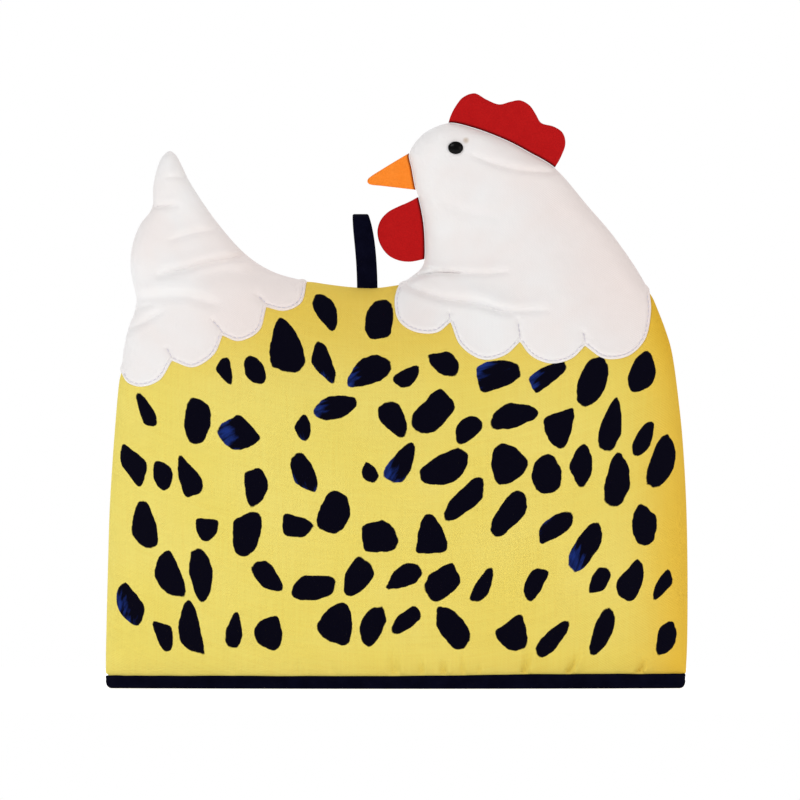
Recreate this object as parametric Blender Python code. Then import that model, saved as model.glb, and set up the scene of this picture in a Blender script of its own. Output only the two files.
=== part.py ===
"""Padded tea cosy in the outline of a sitting hen, made as a sewing room makes it.

Two padded panels are sewn together round the hen's outline and left open at
the hem, so the cover is hollow below and its head and tail are filled. White
cotton shapes with scalloped lower edges are laid over each panel's tail and
neck. A felt comb, beak and wattle are caught in the seam, a tape loop stands on
the back, a bias binding closes the hem and a domed eye is sewn to each side.

Frame: X runs from tail to head, the front panel faces -Y, +Z is up, and the
origin lies under the middle of the cover. All sizes below are in millimetres.
Run with: blender --background --python part.py
"""
import math

import bpy
import numpy as np
from mathutils import Matrix, Vector
from mathutils.geometry import delaunay_2d_cdt

METRES_PER_MM = 0.001

# ---------------------------------------------------------------- hem and body
HEM_WIDTH = 350.0           # over the binding, seam to seam
HEM_CENTRE_X = -0.6         # the flank bulges a little further on the head's side
HEM_DEPTH = 103.0           # over the binding, front to back, at the middle
BINDING_HEIGHT = 8.3        # folded bias tape
BINDING_CLOTH = 1.2         # thickness of the folded tape
FIT_GAP = 0.3               # between pieces that lie against each other

PANEL_WALL = 6.5            # cotton, wadding and inner cotton together
HEM_WALL = 4.0              # the same, pressed by the binding
FILLED_WALL = 24.0          # enough to close the hollow in head and tail
FILL_FROM_Z = 205.0         # the wadding starts to close the hollow here
FILL_TO_Z = 255.0           # and has closed it here
PILLOW_HEIGHT = 5.5         # rise of the padding beside the seam
PILLOW_WIDTH = 9.0          # distance over which it rises
HEM_SQUEEZE = 0.5           # share of that rise left under the binding
SQUEEZE_END_Z = 26.0        # height at which the padding is full again
FULLNESS = 1.35             # crown of the panels against a plain arched sheet

# ---------------------------------------------------------------- thin pieces
CLOTH = 1.0                 # white cotton, turned in and pressed
FELT = 2.4                  # comb, beak and wattle
FELT_ROUNDING = 0.4         # softened rim of the felt
TAPE = 1.2                  # loop tape
LOOP_WIDTH = 12.2
LOOP_HEIGHT = 44.0
LOOP_BULGE = 4.8            # half the distance between the loop's two legs
LOOP_FOOT_X = -18.2
LOOP_LEAN = -3.4            # sideways shift of the loop's top
EYE_LENGTH = 9.2
EYE_HEIGHT = 7.8
EYE_DOME = 2.4
EYE_X = 35.6
EYE_Z = 326.0

# ---------------------------------------------------------------- mesh density
OUTLINE_STEP = 8.0
SCALLOP_STEP = 7.0
OUTER_RINGS = (1.0, 3.2, 7.0)
INNER_RINGS = (6.0, 12.0)
OUTER_GRID = 14.0
INNER_GRID = 20.0
HEM_STEPS = 32              # spans of the hem line, closer near the seams
MEMBRANE_CELL = 4.0

BINDING_TUCK = BINDING_CLOTH + FIT_GAP
BAND_TOP_Z = BINDING_HEIGHT + 1.0   # the panel is straight up to here
SWELLING_Z = SQUEEZE_END_Z - 8.0    # and has swelled most of the way here
PANEL_HALF_WIDTH = HEM_WIDTH / 2 - BINDING_TUCK
PANEL_FOOT_Z = BINDING_TUCK
APPLIQUE_LIFT = FIT_GAP + CLOTH

# ---------------------------------------------------------------- outlines
# Each run lists (x, z) points of the sewn outline, from the tail's side of the
# hem round to the head's side. A smooth curve passes through all of them.
TAIL_FLANK = [
    (HEM_CENTRE_X - PANEL_HALF_WIDTH, PANEL_FOOT_Z),
    (HEM_CENTRE_X - PANEL_HALF_WIDTH, BAND_TOP_Z),
    (-174.9, 12.4), (-175.3, 18.0), (-174.9, 47.0), (-174.2, 75.0), (-173.2, 108.0),
    (-171.6, 135.0), (-169.9, 158.0), (-167.9, 181.0),
]
TAIL = [
    (-166.6, 191.0), (-165.0, 205.0), (-162.2, 217.6), (-158.8, 226.5),
    (-157.4, 234.5), (-159.8, 246.0), (-161.0, 256.0), (-159.6, 268.5),
    (-154.8, 280.5), (-148.1, 289.8), (-147.3, 302.6), (-145.2, 313.0),
    (-141.6, 321.3), (-136.9, 324.7), (-133.4, 322.6), (-123.9, 304.7),
    (-108.3, 281.8), (-90.7, 262.1), (-75.0, 252.0), (-54.0, 246.0),
]
BACK = [(-36.6, 243.1), (-21.0, 241.7), (-8.0, 242.0)]
NECK = [
    (1.3, 244.1), (8.5, 248.6), (14.6, 253.8), (16.6, 259.0), (16.9, 268.0),
    (15.9, 282.0), (12.9, 296.5), (11.4, 300.8), (8.9, 314.0), (7.4, 323.0),
    (13.4, 332.6), (20.5, 337.8), (31.3, 341.4), (44.0, 339.1), (66.0, 331.0),
    (80.5, 323.4), (95.6, 314.3), (116.0, 291.0), (130.0, 274.7),
    (144.5, 254.2), (152.9, 239.4),
]
HEAD_FLANK = [
    (157.7, 228.3), (162.3, 216.2), (165.9, 204.1), (170.9, 167.9),
    (173.1, 143.8), (174.9, 110.0), (175.6, 75.0), (175.4, 42.0),
    (174.5, 19.0), (173.9, 12.6),
    (HEM_CENTRE_X + PANEL_HALF_WIDTH, BAND_TOP_Z),
    (HEM_CENTRE_X + PANEL_HALF_WIDTH, PANEL_FOOT_Z),
]
OUTLINE_RUNS = (TAIL_FLANK, TAIL, BACK, NECK, HEAD_FLANK)
TAIL_RUN, BACK_RUN, NECK_RUN = 1, 2, 3

# Lower edges of the white shapes: one row of (x, z) points for each scallop.
# A row starts where the last one ended, and the first and the last row meet the
# outline.
TAIL_SCALLOPS = [
    [(-162.7, 184.8), (-154.5, 181.9), (-143.1, 185.8), (-135.4, 197.5)],
    [(-122.9, 193.6), (-110.2, 201.2), (-104.9, 212.7)],
    [(-95.4, 209.4), (-83.0, 215.5), (-78.5, 229.8)],
    [(-67.4, 227.7), (-57.5, 232.6)],
]
NECK_SCALLOPS = [
    [(-1.2, 235.0), (1.2, 221.8), (10.9, 215.0), (24.4, 214.6), (32.5, 220.7)],
    [(38.6, 206.6), (52.0, 198.2), (65.5, 201.0), (74.4, 208.9)],
    [(81.1, 200.5), (93.0, 195.9), (105.5, 198.9), (113.6, 206.5)],
    [(125.2, 198.9), (139.7, 200.5), (149.9, 210.5), (153.4, 227.8)],
]

# Free edges of the felt pieces, (x, z). Both ends of each are closed along the
# outline, between the two points of NECK named beside it.
COMB_EDGE = [
    (32.7, 345.7), (35.5, 351.1), (40.1, 356.7), (47.1, 359.1), (54.1, 355.4),
    (61.9, 352.4), (68.6, 354.0), (74.5, 354.9), (80.2, 351.9), (84.0, 346.5),
    (87.2, 341.3), (94.9, 339.0), (100.2, 335.3), (101.9, 328.8), (99.1, 320.5),
]
COMB_NECK_POINTS = (12, 16)
WATTLE_EDGE = [
    (6.9, 293.3), (0.9, 290.7), (-5.2, 287.4), (-9.6, 282.6), (-11.6, 276.0),
    (-10.0, 268.1), (-5.2, 261.5), (0.9, 258.3), (8.0, 257.4),
]
WATTLE_NECK_POINTS = (6, 3)
BEAK_EDGE = [
    (-0.5, 318.3), (-9.0, 313.1), (-15.4, 309.0), (-17.5, 307.0), (-17.6, 305.3),
    (-16.1, 304.1), (-9.0, 303.2), (0.5, 302.1),
]
BEAK_NECK_POINTS = (9, 7)

# Soft troughs pressed into the padding: depth, half width, then the (x, z)
# points that the trough runs through.
CREASES = [
    (1.8, 5.0, [(-148.0, 290.0), (-134.0, 291.5)]),
    (2.2, 5.5, [(-146.0, 249.5), (-121.0, 254.0), (-100.0, 259.7)]),
    (1.2, 5.0, [(-158.5, 216.2), (-142.0, 225.0), (-127.0, 237.3)]),
    (2.0, 5.5, [(12.0, 251.4), (34.0, 251.6), (56.0, 250.6)]),
    (1.8, 5.5, [(4.0, 238.5), (34.0, 233.1), (70.3, 225.3), (86.6, 222.3)]),
]

# ---------------------------------------------------------------- finishes
# name: (linear red, green, blue), roughness
FINISHES = {
    "yellow_cotton": ((0.80, 0.63, 0.13), 0.9),
    "white_cotton": ((0.86, 0.83, 0.81), 0.9),
    "red_felt": ((0.44, 0.010, 0.010), 0.95),
    "orange_felt": ((0.95, 0.25, 0.028), 0.95),
    "navy_tape": ((0.004, 0.004, 0.010), 0.85),
    "black_plastic": ((0.006, 0.006, 0.007), 0.3),
}


# ---------------------------------------------------------------- plane curves
def smooth_curve(points, step):
    """Sample a centripetal Catmull-Rom curve through points.

    Returns the samples and the index of the sample on each given point.
    """
    points = np.asarray(points, float)
    padded = np.vstack([2 * points[0] - points[1], points, 2 * points[-1] - points[-2]])
    samples = [points[0]]
    marks = [0]
    for i in range(1, len(padded) - 2):
        a, b, c, d = padded[i - 1:i + 3]
        ta = 0.0
        tb = ta + math.sqrt(np.linalg.norm(b - a))
        tc = tb + math.sqrt(np.linalg.norm(c - b))
        td = tc + math.sqrt(np.linalg.norm(d - c))
        count = max(1, round(np.linalg.norm(c - b) / step))
        for t in np.linspace(tb, tc, count + 1)[1:]:
            ab = (a * (tb - t) + b * (t - ta)) / (tb - ta)
            bc = (b * (tc - t) + c * (t - tb)) / (tc - tb)
            cd = (c * (td - t) + d * (t - tc)) / (td - tc)
            abc = (ab * (tc - t) + bc * (t - ta)) / (tc - ta)
            bcd = (bc * (td - t) + cd * (t - tb)) / (td - tb)
            samples.append((abc * (tc - t) + bcd * (t - tb)) / (tc - tb))
        marks.append(len(samples) - 1)
    return np.array(samples), marks


def left_normals(line):
    """Unit normals on the left of an open line, averaged at its inner points."""
    along = np.diff(line, axis=0)
    along /= np.linalg.norm(along, axis=1)[:, None]
    normals = np.column_stack([-along[:, 1], along[:, 0]])
    at_points = np.vstack([normals[:1], normals[:-1] + normals[1:], normals[-1:]])
    return at_points / np.linalg.norm(at_points, axis=1)[:, None]


def distance_to_line(points, line):
    """Shortest distance from each point to an open line of segments."""
    start, along = line[:-1], np.diff(line, axis=0)
    offset = points[:, None, :] - start[None]
    share = (offset * along).sum(2) / (along ** 2).sum(1)
    nearest = offset - np.clip(share, 0, 1)[..., None] * along
    return np.sqrt((nearest ** 2).sum(2)).min(1)


def inside_polygon(points, polygon):
    """Even-odd test of each point against a closed polygon."""
    x, z = points[:, :1], points[:, 1:]
    x0, z0 = polygon.T
    x1, z1 = np.roll(polygon, -1, axis=0).T
    crosses = (z0 > z) != (z1 > z)
    rise = np.where(z1 == z0, 1.0, z1 - z0)
    to_left = x < x0 + (z - z0) / rise * (x1 - x0)
    return (crosses & to_left).sum(1) % 2 == 1


def smooth_step(value, low, high):
    """Ease from 0 at low to 1 at high."""
    share = np.clip((value - low) / (high - low), 0, 1)
    return share * share * (3 - 2 * share)


# ---------------------------------------------------------------- the outline
class Outline:
    """The hen's sewn outline, and the panel's own one under the white cloth."""

    def __init__(self):
        points = [point for run in OUTLINE_RUNS for point in run]
        self.sewn, marks = smooth_curve(points, OUTLINE_STEP)
        self.outward = left_normals(self.sewn)
        first_rows = np.cumsum([0] + [len(run) for run in OUTLINE_RUNS])
        self.marks = [marks[a:b] for a, b in zip(first_rows, first_rows[1:])]
        self.lift = self._lift()
        self.seam = self.sewn - self.outward * self.lift[:, None]
        self.hem_x = HEM_CENTRE_X + PANEL_HALF_WIDTH * np.cos(
            np.linspace(0, math.pi, HEM_STEPS + 1))[1:-1]
        hem = np.column_stack([self.hem_x, np.full(HEM_STEPS - 1, PANEL_FOOT_Z)])
        self.polygon = np.vstack([self.seam, hem])

    def band_top(self):
        """Points across the top of the straight band over the hem."""
        return np.column_stack([self.hem_x[::-1], np.full(len(self.hem_x), BAND_TOP_Z)])

    def _lift(self):
        """How far the white cloth carries the edge out, eased at its ends."""
        steps = np.linalg.norm(np.diff(self.sewn, axis=0), axis=1)
        along = np.concatenate([[0], np.cumsum(steps)])
        lift = np.zeros(len(self.sewn))
        for run in (TAIL_RUN, NECK_RUN):
            start, end = along[self.marks[run][0]], along[self.marks[run][-1]]
            depth = np.minimum(along - start, end - along)
            lift += APPLIQUE_LIFT * smooth_step(depth, -6.0, 6.0)
        return lift

    def stretch(self, run, first=0, last=-1):
        """Indices of the samples between two points of a run."""
        a, b = self.marks[run][first], self.marks[run][last]
        return list(range(a, b + 1)) if a < b else list(range(a, b - 1, -1))


def scallop_line(rows, start, end):
    """Samples along a scalloped edge, with a corner wherever a row ends."""
    line = [start]
    for number, row in enumerate(rows):
        closing = [end] if number == len(rows) - 1 else []
        samples, _ = smooth_curve([line[-1], *row, *closing], SCALLOP_STEP)
        line.extend(samples[1:])
    return np.array(line)


# ---------------------------------------------------------------- the body form
def crease_depth(points):
    """How far the troughs press each point in: a bell across, eased at the ends."""
    pressed = np.zeros(len(points))
    for depth, half_width, line in CREASES:
        line = np.array(line)
        across = np.exp(-(distance_to_line(points, line) / half_width) ** 2)
        chord = line[-1] - line[0]
        along = (points - line[0]) @ chord / (chord @ chord)
        ends = smooth_step(along, -0.1, 0.25) * (1 - smooth_step(along, 0.7, 1.1))
        pressed += depth * across * ends
    return pressed


class Body:
    """Half depths of the padded body: a stretched sheet with pillowed edges."""

    def __init__(self, outline):
        self.outline = outline
        self.low = np.array([-184.0, BAND_TOP_Z])
        self.counts = np.array([368.0, 336.0]) / MEMBRANE_CELL + 1
        self.sheet = self._stretch()

    def seam_distance(self, points):
        return distance_to_line(points, self.outline.seam)

    @staticmethod
    def hem_crown(x):
        """Arch of the sheet along the hem, without the padding beside the seam."""
        share = (x - HEM_CENTRE_X) / PANEL_HALF_WIDTH
        middle = HEM_DEPTH / 2 - BINDING_TUCK - PILLOW_HEIGHT * HEM_SQUEEZE
        return middle * (1 - share ** 2)

    def _stretch(self):
        """Relax a loaded sheet held by the seam and by the arched hem line.

        Nodes just outside the seam stand for a value that makes the sheet reach
        zero on the seam itself, so its edge follows the outline smoothly.
        """
        columns, rows = self.counts.astype(int)
        x = self.low[0] + MEMBRANE_CELL * np.arange(columns)
        z = self.low[1] + MEMBRANE_CELL * np.arange(rows)
        grid = np.stack(np.meshgrid(x, z), axis=-1)
        flat = grid.reshape(-1, 2)
        distance = self.seam_distance(flat).reshape(rows, columns)
        held_inside = inside_polygon(flat, self.outline.polygon).reshape(rows, columns)
        signed = np.where(held_inside, distance, -distance)
        sheet = np.zeros((rows, columns))
        sheet[0] = np.where(held_inside[0], self.hem_crown(x), 0)

        middle = self.hem_crown(np.array([HEM_CENTRE_X]))[0]
        load = FULLNESS * 2 * middle / PANEL_HALF_WIDTH ** 2 * MEMBRANE_CELL ** 2
        core = held_inside[1:-1, 1:-1]
        near = np.maximum(signed[1:-1, 1:-1], 0.2 * MEMBRANE_CELL)
        weight = np.full(core.shape, 4.0)
        sides = ((1, 0), (-1, 0), (0, 1), (0, -1))
        for dz, dx in sides:
            beside = np.roll(signed, (-dz, -dx), axis=(0, 1))[1:-1, 1:-1]
            weight += np.where(beside < 0, -beside / near, 0)
        parity = np.add.outer(np.arange(rows), np.arange(columns))[1:-1, 1:-1] % 2
        for _ in range(420):
            for colour in (0, 1):
                total = sum(np.roll(sheet, (-dz, -dx), axis=(0, 1))[1:-1, 1:-1]
                            for dz, dx in sides)
                target = (total + load) / weight
                change = 1.93 * (target - sheet[1:-1, 1:-1])
                sheet[1:-1, 1:-1] += np.where(core & (parity == colour), change, 0)

        outside_sum = np.zeros((rows, columns))
        outside_count = np.zeros((rows, columns))
        for dz, dx in sides:
            value = np.roll(sheet, (-dz, -dx), axis=(0, 1))
            inner = np.roll(signed, (-dz, -dx), axis=(0, 1))
            use = (signed < 0) & (inner > 0)
            depth = np.maximum(inner, 0.2 * MEMBRANE_CELL)
            outside_sum += np.where(use, value * signed / depth, 0)
            outside_count += use
        ghost = outside_sum / np.maximum(outside_count, 1)
        return np.where(signed < 0, ghost, sheet)

    def sheet_depth(self, points):
        """The sheet's depth at each point, straight down below its hem line."""
        place = (points - self.low) / MEMBRANE_CELL
        place = np.clip(place, 0, self.counts - 1.001)
        cell = place.astype(int)
        u, v = (place - cell).T
        i, j = cell.T
        s = self.sheet
        lower = s[j, i] * (1 - u) + s[j, i + 1] * u
        upper = s[j + 1, i] * (1 - u) + s[j + 1, i + 1] * u
        depth = lower * (1 - v) + upper * v
        in_band = points[:, 1] <= BAND_TOP_Z
        return np.maximum(np.where(in_band, self.hem_crown(points[:, 0]), depth), 0)

    def outer(self, points):
        """Half depth of the panel's outer face."""
        inward = np.clip(self.seam_distance(points) / PILLOW_WIDTH, 0, 1)
        pillow = (PILLOW_HEIGHT - crease_depth(points)) * np.sqrt(1 - (1 - inward) ** 2)
        free = smooth_step(points[:, 1], BAND_TOP_Z, SQUEEZE_END_Z)
        share = HEM_SQUEEZE + (1 - HEM_SQUEEZE) * free
        return np.maximum(self.sheet_depth(points) + pillow * share, FIT_GAP / 2)

    def inner(self, points):
        """Half depth of the hollow; the panels touch where there is none."""
        z = points[:, 1]
        wall = HEM_WALL + (PANEL_WALL - HEM_WALL) * smooth_step(
            z, BAND_TOP_Z, SQUEEZE_END_Z)
        wall += (FILLED_WALL - PANEL_WALL) * smooth_step(z, FILL_FROM_Z, FILL_TO_Z)
        return np.maximum(self.outer(points) - wall, FIT_GAP / 2)


# ---------------------------------------------------------------- plane meshing
def grid_points(polygon, spacing):
    """Rows of points in a triangular pattern over a polygon's box."""
    low, high = polygon.min(0), polygon.max(0)
    row_height = spacing * math.sqrt(3) / 2
    rows = np.arange(low[1] + row_height / 2, high[1], row_height)
    points = []
    for number, z in enumerate(rows):
        start = low[0] + (number % 2) * spacing / 2
        points.extend((x, z) for x in np.arange(start, high[0], spacing))
    return np.array(points)


def crease_points():
    """Three rows of points along each trough: its bottom and both its sides."""
    rows = []
    for _, half_width, line in CREASES:
        bottom, _ = smooth_curve(line, 9.0)
        side = left_normals(bottom) * half_width * 1.3
        rows += [bottom, bottom + side, bottom - side]
    return np.vstack(rows)


def free_points(outline, rings, spacing, lines):
    """Points inside the outline: rings by the seam, troughs, an even grid."""
    seam = outline.seam
    creased = crease_points()
    kept = [creased[distance_to_line(creased, seam) > rings[-1] + 1.5]]
    for depth in rings:
        ring = seam - outline.outward * depth
        ring = ring[::2] if depth > 5 else ring
        clear = distance_to_line(ring, seam) > depth * 0.93
        kept.append(ring[clear & (ring[:, 1] > BAND_TOP_Z + 3)])
    grid = grid_points(outline.polygon, spacing)
    grid = grid[inside_polygon(grid, outline.polygon)]
    grid = grid[distance_to_line(grid, seam) > rings[-1] + 0.45 * spacing]
    beside = np.linalg.norm(grid[:, None] - creased[None], axis=2).min(1)
    grid = grid[beside > 0.5 * spacing]
    kept.append(grid[grid[:, 1] > SWELLING_Z + 0.5 * spacing])
    points = np.vstack(kept)
    for line in lines:
        clearance = np.minimum(2.0 + 0.4 * distance_to_line(points, seam), 4.5)
        points = points[distance_to_line(points, line) > clearance]
    swelling = [(x, SWELLING_Z) for x in outline.hem_x[2:-2:2]]
    return np.vstack([swelling, points])


def without_near_doubles(points, clearance):
    """Drop points that lie closer than clearance to an earlier one."""
    kept = []
    for point in points:
        if not kept or np.linalg.norm(np.array(kept) - point, axis=1).min() > clearance:
            kept.append(point)
    return np.array(kept)


def plan_mesh(outline, rings, spacing, edges):
    """Points and triangles of a panel's plan, with lines that must be kept.

    Each of edges is the run of the outline that it closes and its points; the
    top of the straight band over the hem is always kept.
    """
    marks = outline.marks
    points = list(outline.polygon)
    kept = [(marks[0][1], outline.band_top(), marks[-1][-2])]
    kept += [(marks[run][0], edge[1:-1], marks[run][-1]) for run, edge in edges]
    links = []
    for start, line, end in kept:
        chain = [start, *range(len(points), len(points) + len(line)), end]
        points.extend(line)
        links += list(zip(chain, chain[1:]))
    lines = [np.vstack([points[start], line, points[end]]) for start, line, end in kept]
    extra = without_near_doubles(free_points(outline, rings, spacing, lines), 1.6)
    points = np.vstack([points, extra])
    return points, triangulate(points, len(outline.polygon), links)


def triangulate(points, boundary_count, edges):
    """Constrained Delaunay triangles, counter-clockwise, inside the boundary."""
    border = [(i, (i + 1) % boundary_count) for i in range(boundary_count)]
    result = delaunay_2d_cdt([Vector(p) for p in points], border + edges,
                             [list(range(boundary_count))], 1, 1e-5)
    source = result[3]
    triangles = np.array([[source[v][0] for v in face] for face in result[2]])
    a, b, c = (points[triangles[:, k]] for k in range(3))
    turn = (b - a)[:, 0] * (c - a)[:, 1] - (b - a)[:, 1] * (c - a)[:, 0]
    triangles[turn < 0] = triangles[turn < 0][:, ::-1]
    return triangles


# ---------------------------------------------------------------- solids
def corner_normals(points, triangles):
    """Area-weighted unit normal at each point of a triangle surface."""
    a, b, c = (points[triangles[:, k]] for k in range(3))
    face = np.cross(b - a, c - a)
    total = np.zeros_like(points)
    for k in range(3):
        np.add.at(total, triangles[:, k], face)
    length = np.linalg.norm(total, axis=1)[:, None]
    return total / np.where(length == 0, 1, length)


def material(name):
    """A Principled material of one of the finishes, made once."""
    found = bpy.data.materials.get(name)
    if found:
        return found
    colour, roughness = FINISHES[name]
    made = bpy.data.materials.new(name)
    made.use_nodes = True
    shader = made.node_tree.nodes["Principled BSDF"]
    shader.inputs["Base Color"].default_value = (*colour, 1)
    shader.inputs["Roughness"].default_value = roughness
    made.diffuse_color = (*colour, 1)
    return made


def add_piece(name, points, faces, finish):
    """Make one named mesh object from points in millimetres."""
    used = sorted({int(v) for face in faces for v in face})
    place = {v: i for i, v in enumerate(used)}
    mesh = bpy.data.meshes.new(name)
    corners = [tuple(np.asarray(points[v]) * METRES_PER_MM) for v in used]
    mesh.from_pydata(corners, [], [[place[int(v)] for v in face] for face in faces])
    mesh.materials.append(material(finish))
    mesh.shade_smooth()
    mesh.set_sharp_from_angle(angle=math.radians(40))
    piece = bpy.data.objects.new(name, mesh)
    bpy.context.scene.collection.objects.link(piece)
    return piece


def add_mirrored_pair(stem, points, faces, finish):
    """Make the front piece and its mirror image on the back."""
    add_piece(f"{stem}_front", points, faces, finish)
    turned = np.asarray(points) * (1, -1, 1)
    add_piece(f"{stem}_back", turned, [list(face)[::-1] for face in faces], finish)


def add_panels(outline, body, plan, triangles):
    """The two padded panels: outer face, hollow side and hem edge."""
    border = len(outline.polygon)
    seam_count = len(outline.seam)
    outer = np.column_stack([plan[:, 0], -body.outer(plan), plan[:, 1]])
    outer[:seam_count, 1] = -FIT_GAP / 2

    lining_plan, lining_triangles = plan_mesh(outline, INNER_RINGS, INNER_GRID, [])
    lining = np.column_stack(
        [lining_plan[:, 0], -body.inner(lining_plan), lining_plan[:, 1]])

    shift = len(outer)
    at_lining = np.arange(len(lining)) + shift
    at_lining[:seam_count] = np.arange(seam_count)
    faces = [list(t) for t in triangles]
    faces += [[at_lining[v] for v in t[::-1]] for t in lining_triangles]
    hem = [seam_count - 1, *range(seam_count, border), 0]
    for a, b in zip(hem, hem[1:]):
        edge = [a, b, at_lining[b], at_lining[a]]
        faces.append(list(dict.fromkeys(edge)))
    add_mirrored_pair("panel", np.vstack([outer, lining]), faces, "yellow_cotton")


def add_white_shapes(outline, body, plan, triangles, stem, run, edge):
    """White cloth over the panel, from the seam down to its scalloped edge."""
    shape = np.vstack([outline.seam[outline.stretch(run)], edge[::-1]])
    centres = plan[triangles].mean(1)
    cloth = triangles[inside_polygon(centres, shape)]
    base = np.column_stack([plan[:, 0], -body.outer(plan), plan[:, 1]])
    seam_count = len(outline.seam)
    base[:seam_count, 1] = -FIT_GAP / 2
    lift = corner_normals(base, triangles)
    lift[:seam_count] = np.column_stack(
        [outline.outward[:, 0], np.zeros(seam_count), outline.outward[:, 1]])

    under = base + lift * FIT_GAP
    over = base + lift * APPLIQUE_LIFT
    shift = len(base)
    faces = [list(t) for t in cloth + shift] + [list(t[::-1]) for t in cloth]
    open_edges = {(a, b) for t in cloth for a, b in zip(t, np.roll(t, -1))}
    for a, b in sorted(open_edges):
        if (b, a) not in open_edges:
            faces.append([b + shift, a + shift, a, b])
    add_mirrored_pair(stem, np.vstack([under, over]), faces, "white_cotton")


def add_felt(name, outline, edge, neck_points, finish):
    """A flat felt piece whose inner side follows the neck's sewn outline."""
    inner = outline.stretch(NECK_RUN, *neck_points)
    seat = outline.sewn[inner] + outline.outward[inner] * FIT_GAP
    free, _ = smooth_curve([seat[0], *edge, seat[-1]], 6.0)
    rim = np.vstack([free, seat[-2:0:-1]])
    area = (rim[:, 0] * np.roll(rim[:, 1], -1) - np.roll(rim[:, 0], -1) * rim[:, 1]).sum()
    rim = rim if area > 0 else rim[::-1]
    closed = np.vstack([rim[-1:], rim, rim[:1]])
    softened = rim + left_normals(closed)[1:-1] * FELT_ROUNDING

    half = FELT / 2
    levels = ((softened, -half), (rim, FELT_ROUNDING - half),
              (rim, half - FELT_ROUNDING), (softened, half))
    points = np.vstack([np.column_stack([ring[:, 0], np.full(len(ring), y), ring[:, 1]])
                        for ring, y in levels])
    count = len(rim)
    cap = triangulate(softened, count, [])
    faces = [list(t) for t in cap] + [list(t[::-1] + 3 * count) for t in cap]
    for level in range(3):
        for i in range(count):
            j = (i + 1) % count
            a, b = level * count + i, level * count + j
            faces.append([a, a + count, b + count, b])
    add_piece(name, points, faces, finish)


def add_binding(body):
    """Bias tape folded round the hem: one ring with a U-shaped section."""
    angles = np.linspace(0, 2 * math.pi, 2 * HEM_STEPS, endpoint=False)

    def hem_depth(x, depth_of):
        return depth_of(np.column_stack([x, np.full(len(x), PANEL_FOOT_Z)]))

    def outside(offset):
        x = HEM_CENTRE_X + PANEL_HALF_WIDTH * np.cos(angles)
        y = -np.sign(np.round(np.sin(angles), 9)) * hem_depth(x, body.outer)
        line = np.column_stack([x, y])
        along = np.roll(line, -1, axis=0) - np.roll(line, 1, axis=0)
        normal = np.column_stack([-along[:, 1], along[:, 0]])
        return line + offset * normal / np.linalg.norm(normal, axis=1)[:, None]

    def inside(offset):
        """The hollow's edge, moved in by offset, closed where its sides meet."""
        reach = np.linspace(0, PANEL_HALF_WIDTH, 2000)
        gap = hem_depth(HEM_CENTRE_X + reach, body.outer) - HEM_WALL
        gap -= offset * np.hypot(1, np.gradient(gap, reach))
        tip = np.interp(0, -gap[reach > 100], reach[reach > 100])
        x = tip * np.cos(angles)
        depth = np.interp(np.abs(x), reach, gap) * (np.abs(x) < tip * 0.99999)
        y = -np.sign(np.round(np.sin(angles), 9)) * np.maximum(depth, 0)
        return np.column_stack([HEM_CENTRE_X + x, y])

    full = BINDING_TUCK
    bevel = 0.8
    section = [
        (outside(full), BINDING_HEIGHT - 0.3), (outside(full), bevel),
        (outside(full - bevel), 0.0), (inside(full - bevel), 0.0),
        (inside(full), bevel), (inside(full), BINDING_HEIGHT - 0.3),
        (inside(full - 0.4), BINDING_HEIGHT), (inside(FIT_GAP), BINDING_HEIGHT),
        (inside(FIT_GAP), BINDING_CLOTH), (outside(FIT_GAP), BINDING_CLOTH),
        (outside(FIT_GAP), BINDING_HEIGHT), (outside(full - 0.4), BINDING_HEIGHT),
    ]
    points = np.vstack([np.column_stack([ring, np.full(len(ring), z)])
                        for ring, z in section])
    count = len(angles)
    faces = []
    for level in range(len(section)):
        upper = (level + 1) % len(section)
        for i in range(count):
            j = (i + 1) % count
            faces.append([level * count + i, level * count + j,
                          upper * count + j, upper * count + i])
    add_piece("hem_binding", points, faces, "navy_tape")


def add_loop(outline):
    """A tape folded over at its top, its two legs sprung apart."""
    back = outline.seam[outline.stretch(BACK_RUN)]
    feet_x = LOOP_FOOT_X + np.array([-1, 1]) * LOOP_WIDTH / 2
    foot_z = np.interp(feet_x, *back.T).max() + FIT_GAP
    half = TAPE / 2
    foot_y = FIT_GAP / 2 + half
    centre_z = foot_z + LOOP_HEIGHT - half - LOOP_BULGE
    rise = np.linspace(0, 1, 8)
    leg_y = foot_y + (LOOP_BULGE - foot_y) * smooth_step(rise, 0, 1)
    leg_z = foot_z + (centre_z - foot_z) * rise
    turn = np.linspace(0, math.pi, 9)[1:-1]
    path = np.vstack([
        np.column_stack([-leg_y, leg_z]),
        np.column_stack([-LOOP_BULGE * np.cos(turn), centre_z + LOOP_BULGE * np.sin(turn)]),
        np.column_stack([leg_y, leg_z])[::-1]])
    side = left_normals(path)
    side[0], side[-1] = (-1, 0), (1, 0)

    height = (path[:, 1] - foot_z) / LOOP_HEIGHT
    middle = LOOP_FOOT_X + LOOP_LEAN * height ** 1.5
    width = LOOP_WIDTH * (1 - 0.30 * np.clip(height, 0, 1) ** 6)
    points = []
    for (y, z), (ny, nz), x, w in zip(path, side, middle, width):
        for dx, out in ((-1, half), (1, half), (1, -half), (-1, -half)):
            points.append((x + dx * w / 2, y + ny * out, z + nz * out))
    last = len(points) - 4
    faces = [[3, 2, 1, 0], [last, last + 1, last + 2, last + 3]]
    for level in range(len(path) - 1):
        for k in range(4):
            a, b = 4 * level + k, 4 * level + (k + 1) % 4
            faces.append([a, b, b + 4, a + 4])
    add_piece("hanging_loop", points, faces, "navy_tape")


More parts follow.
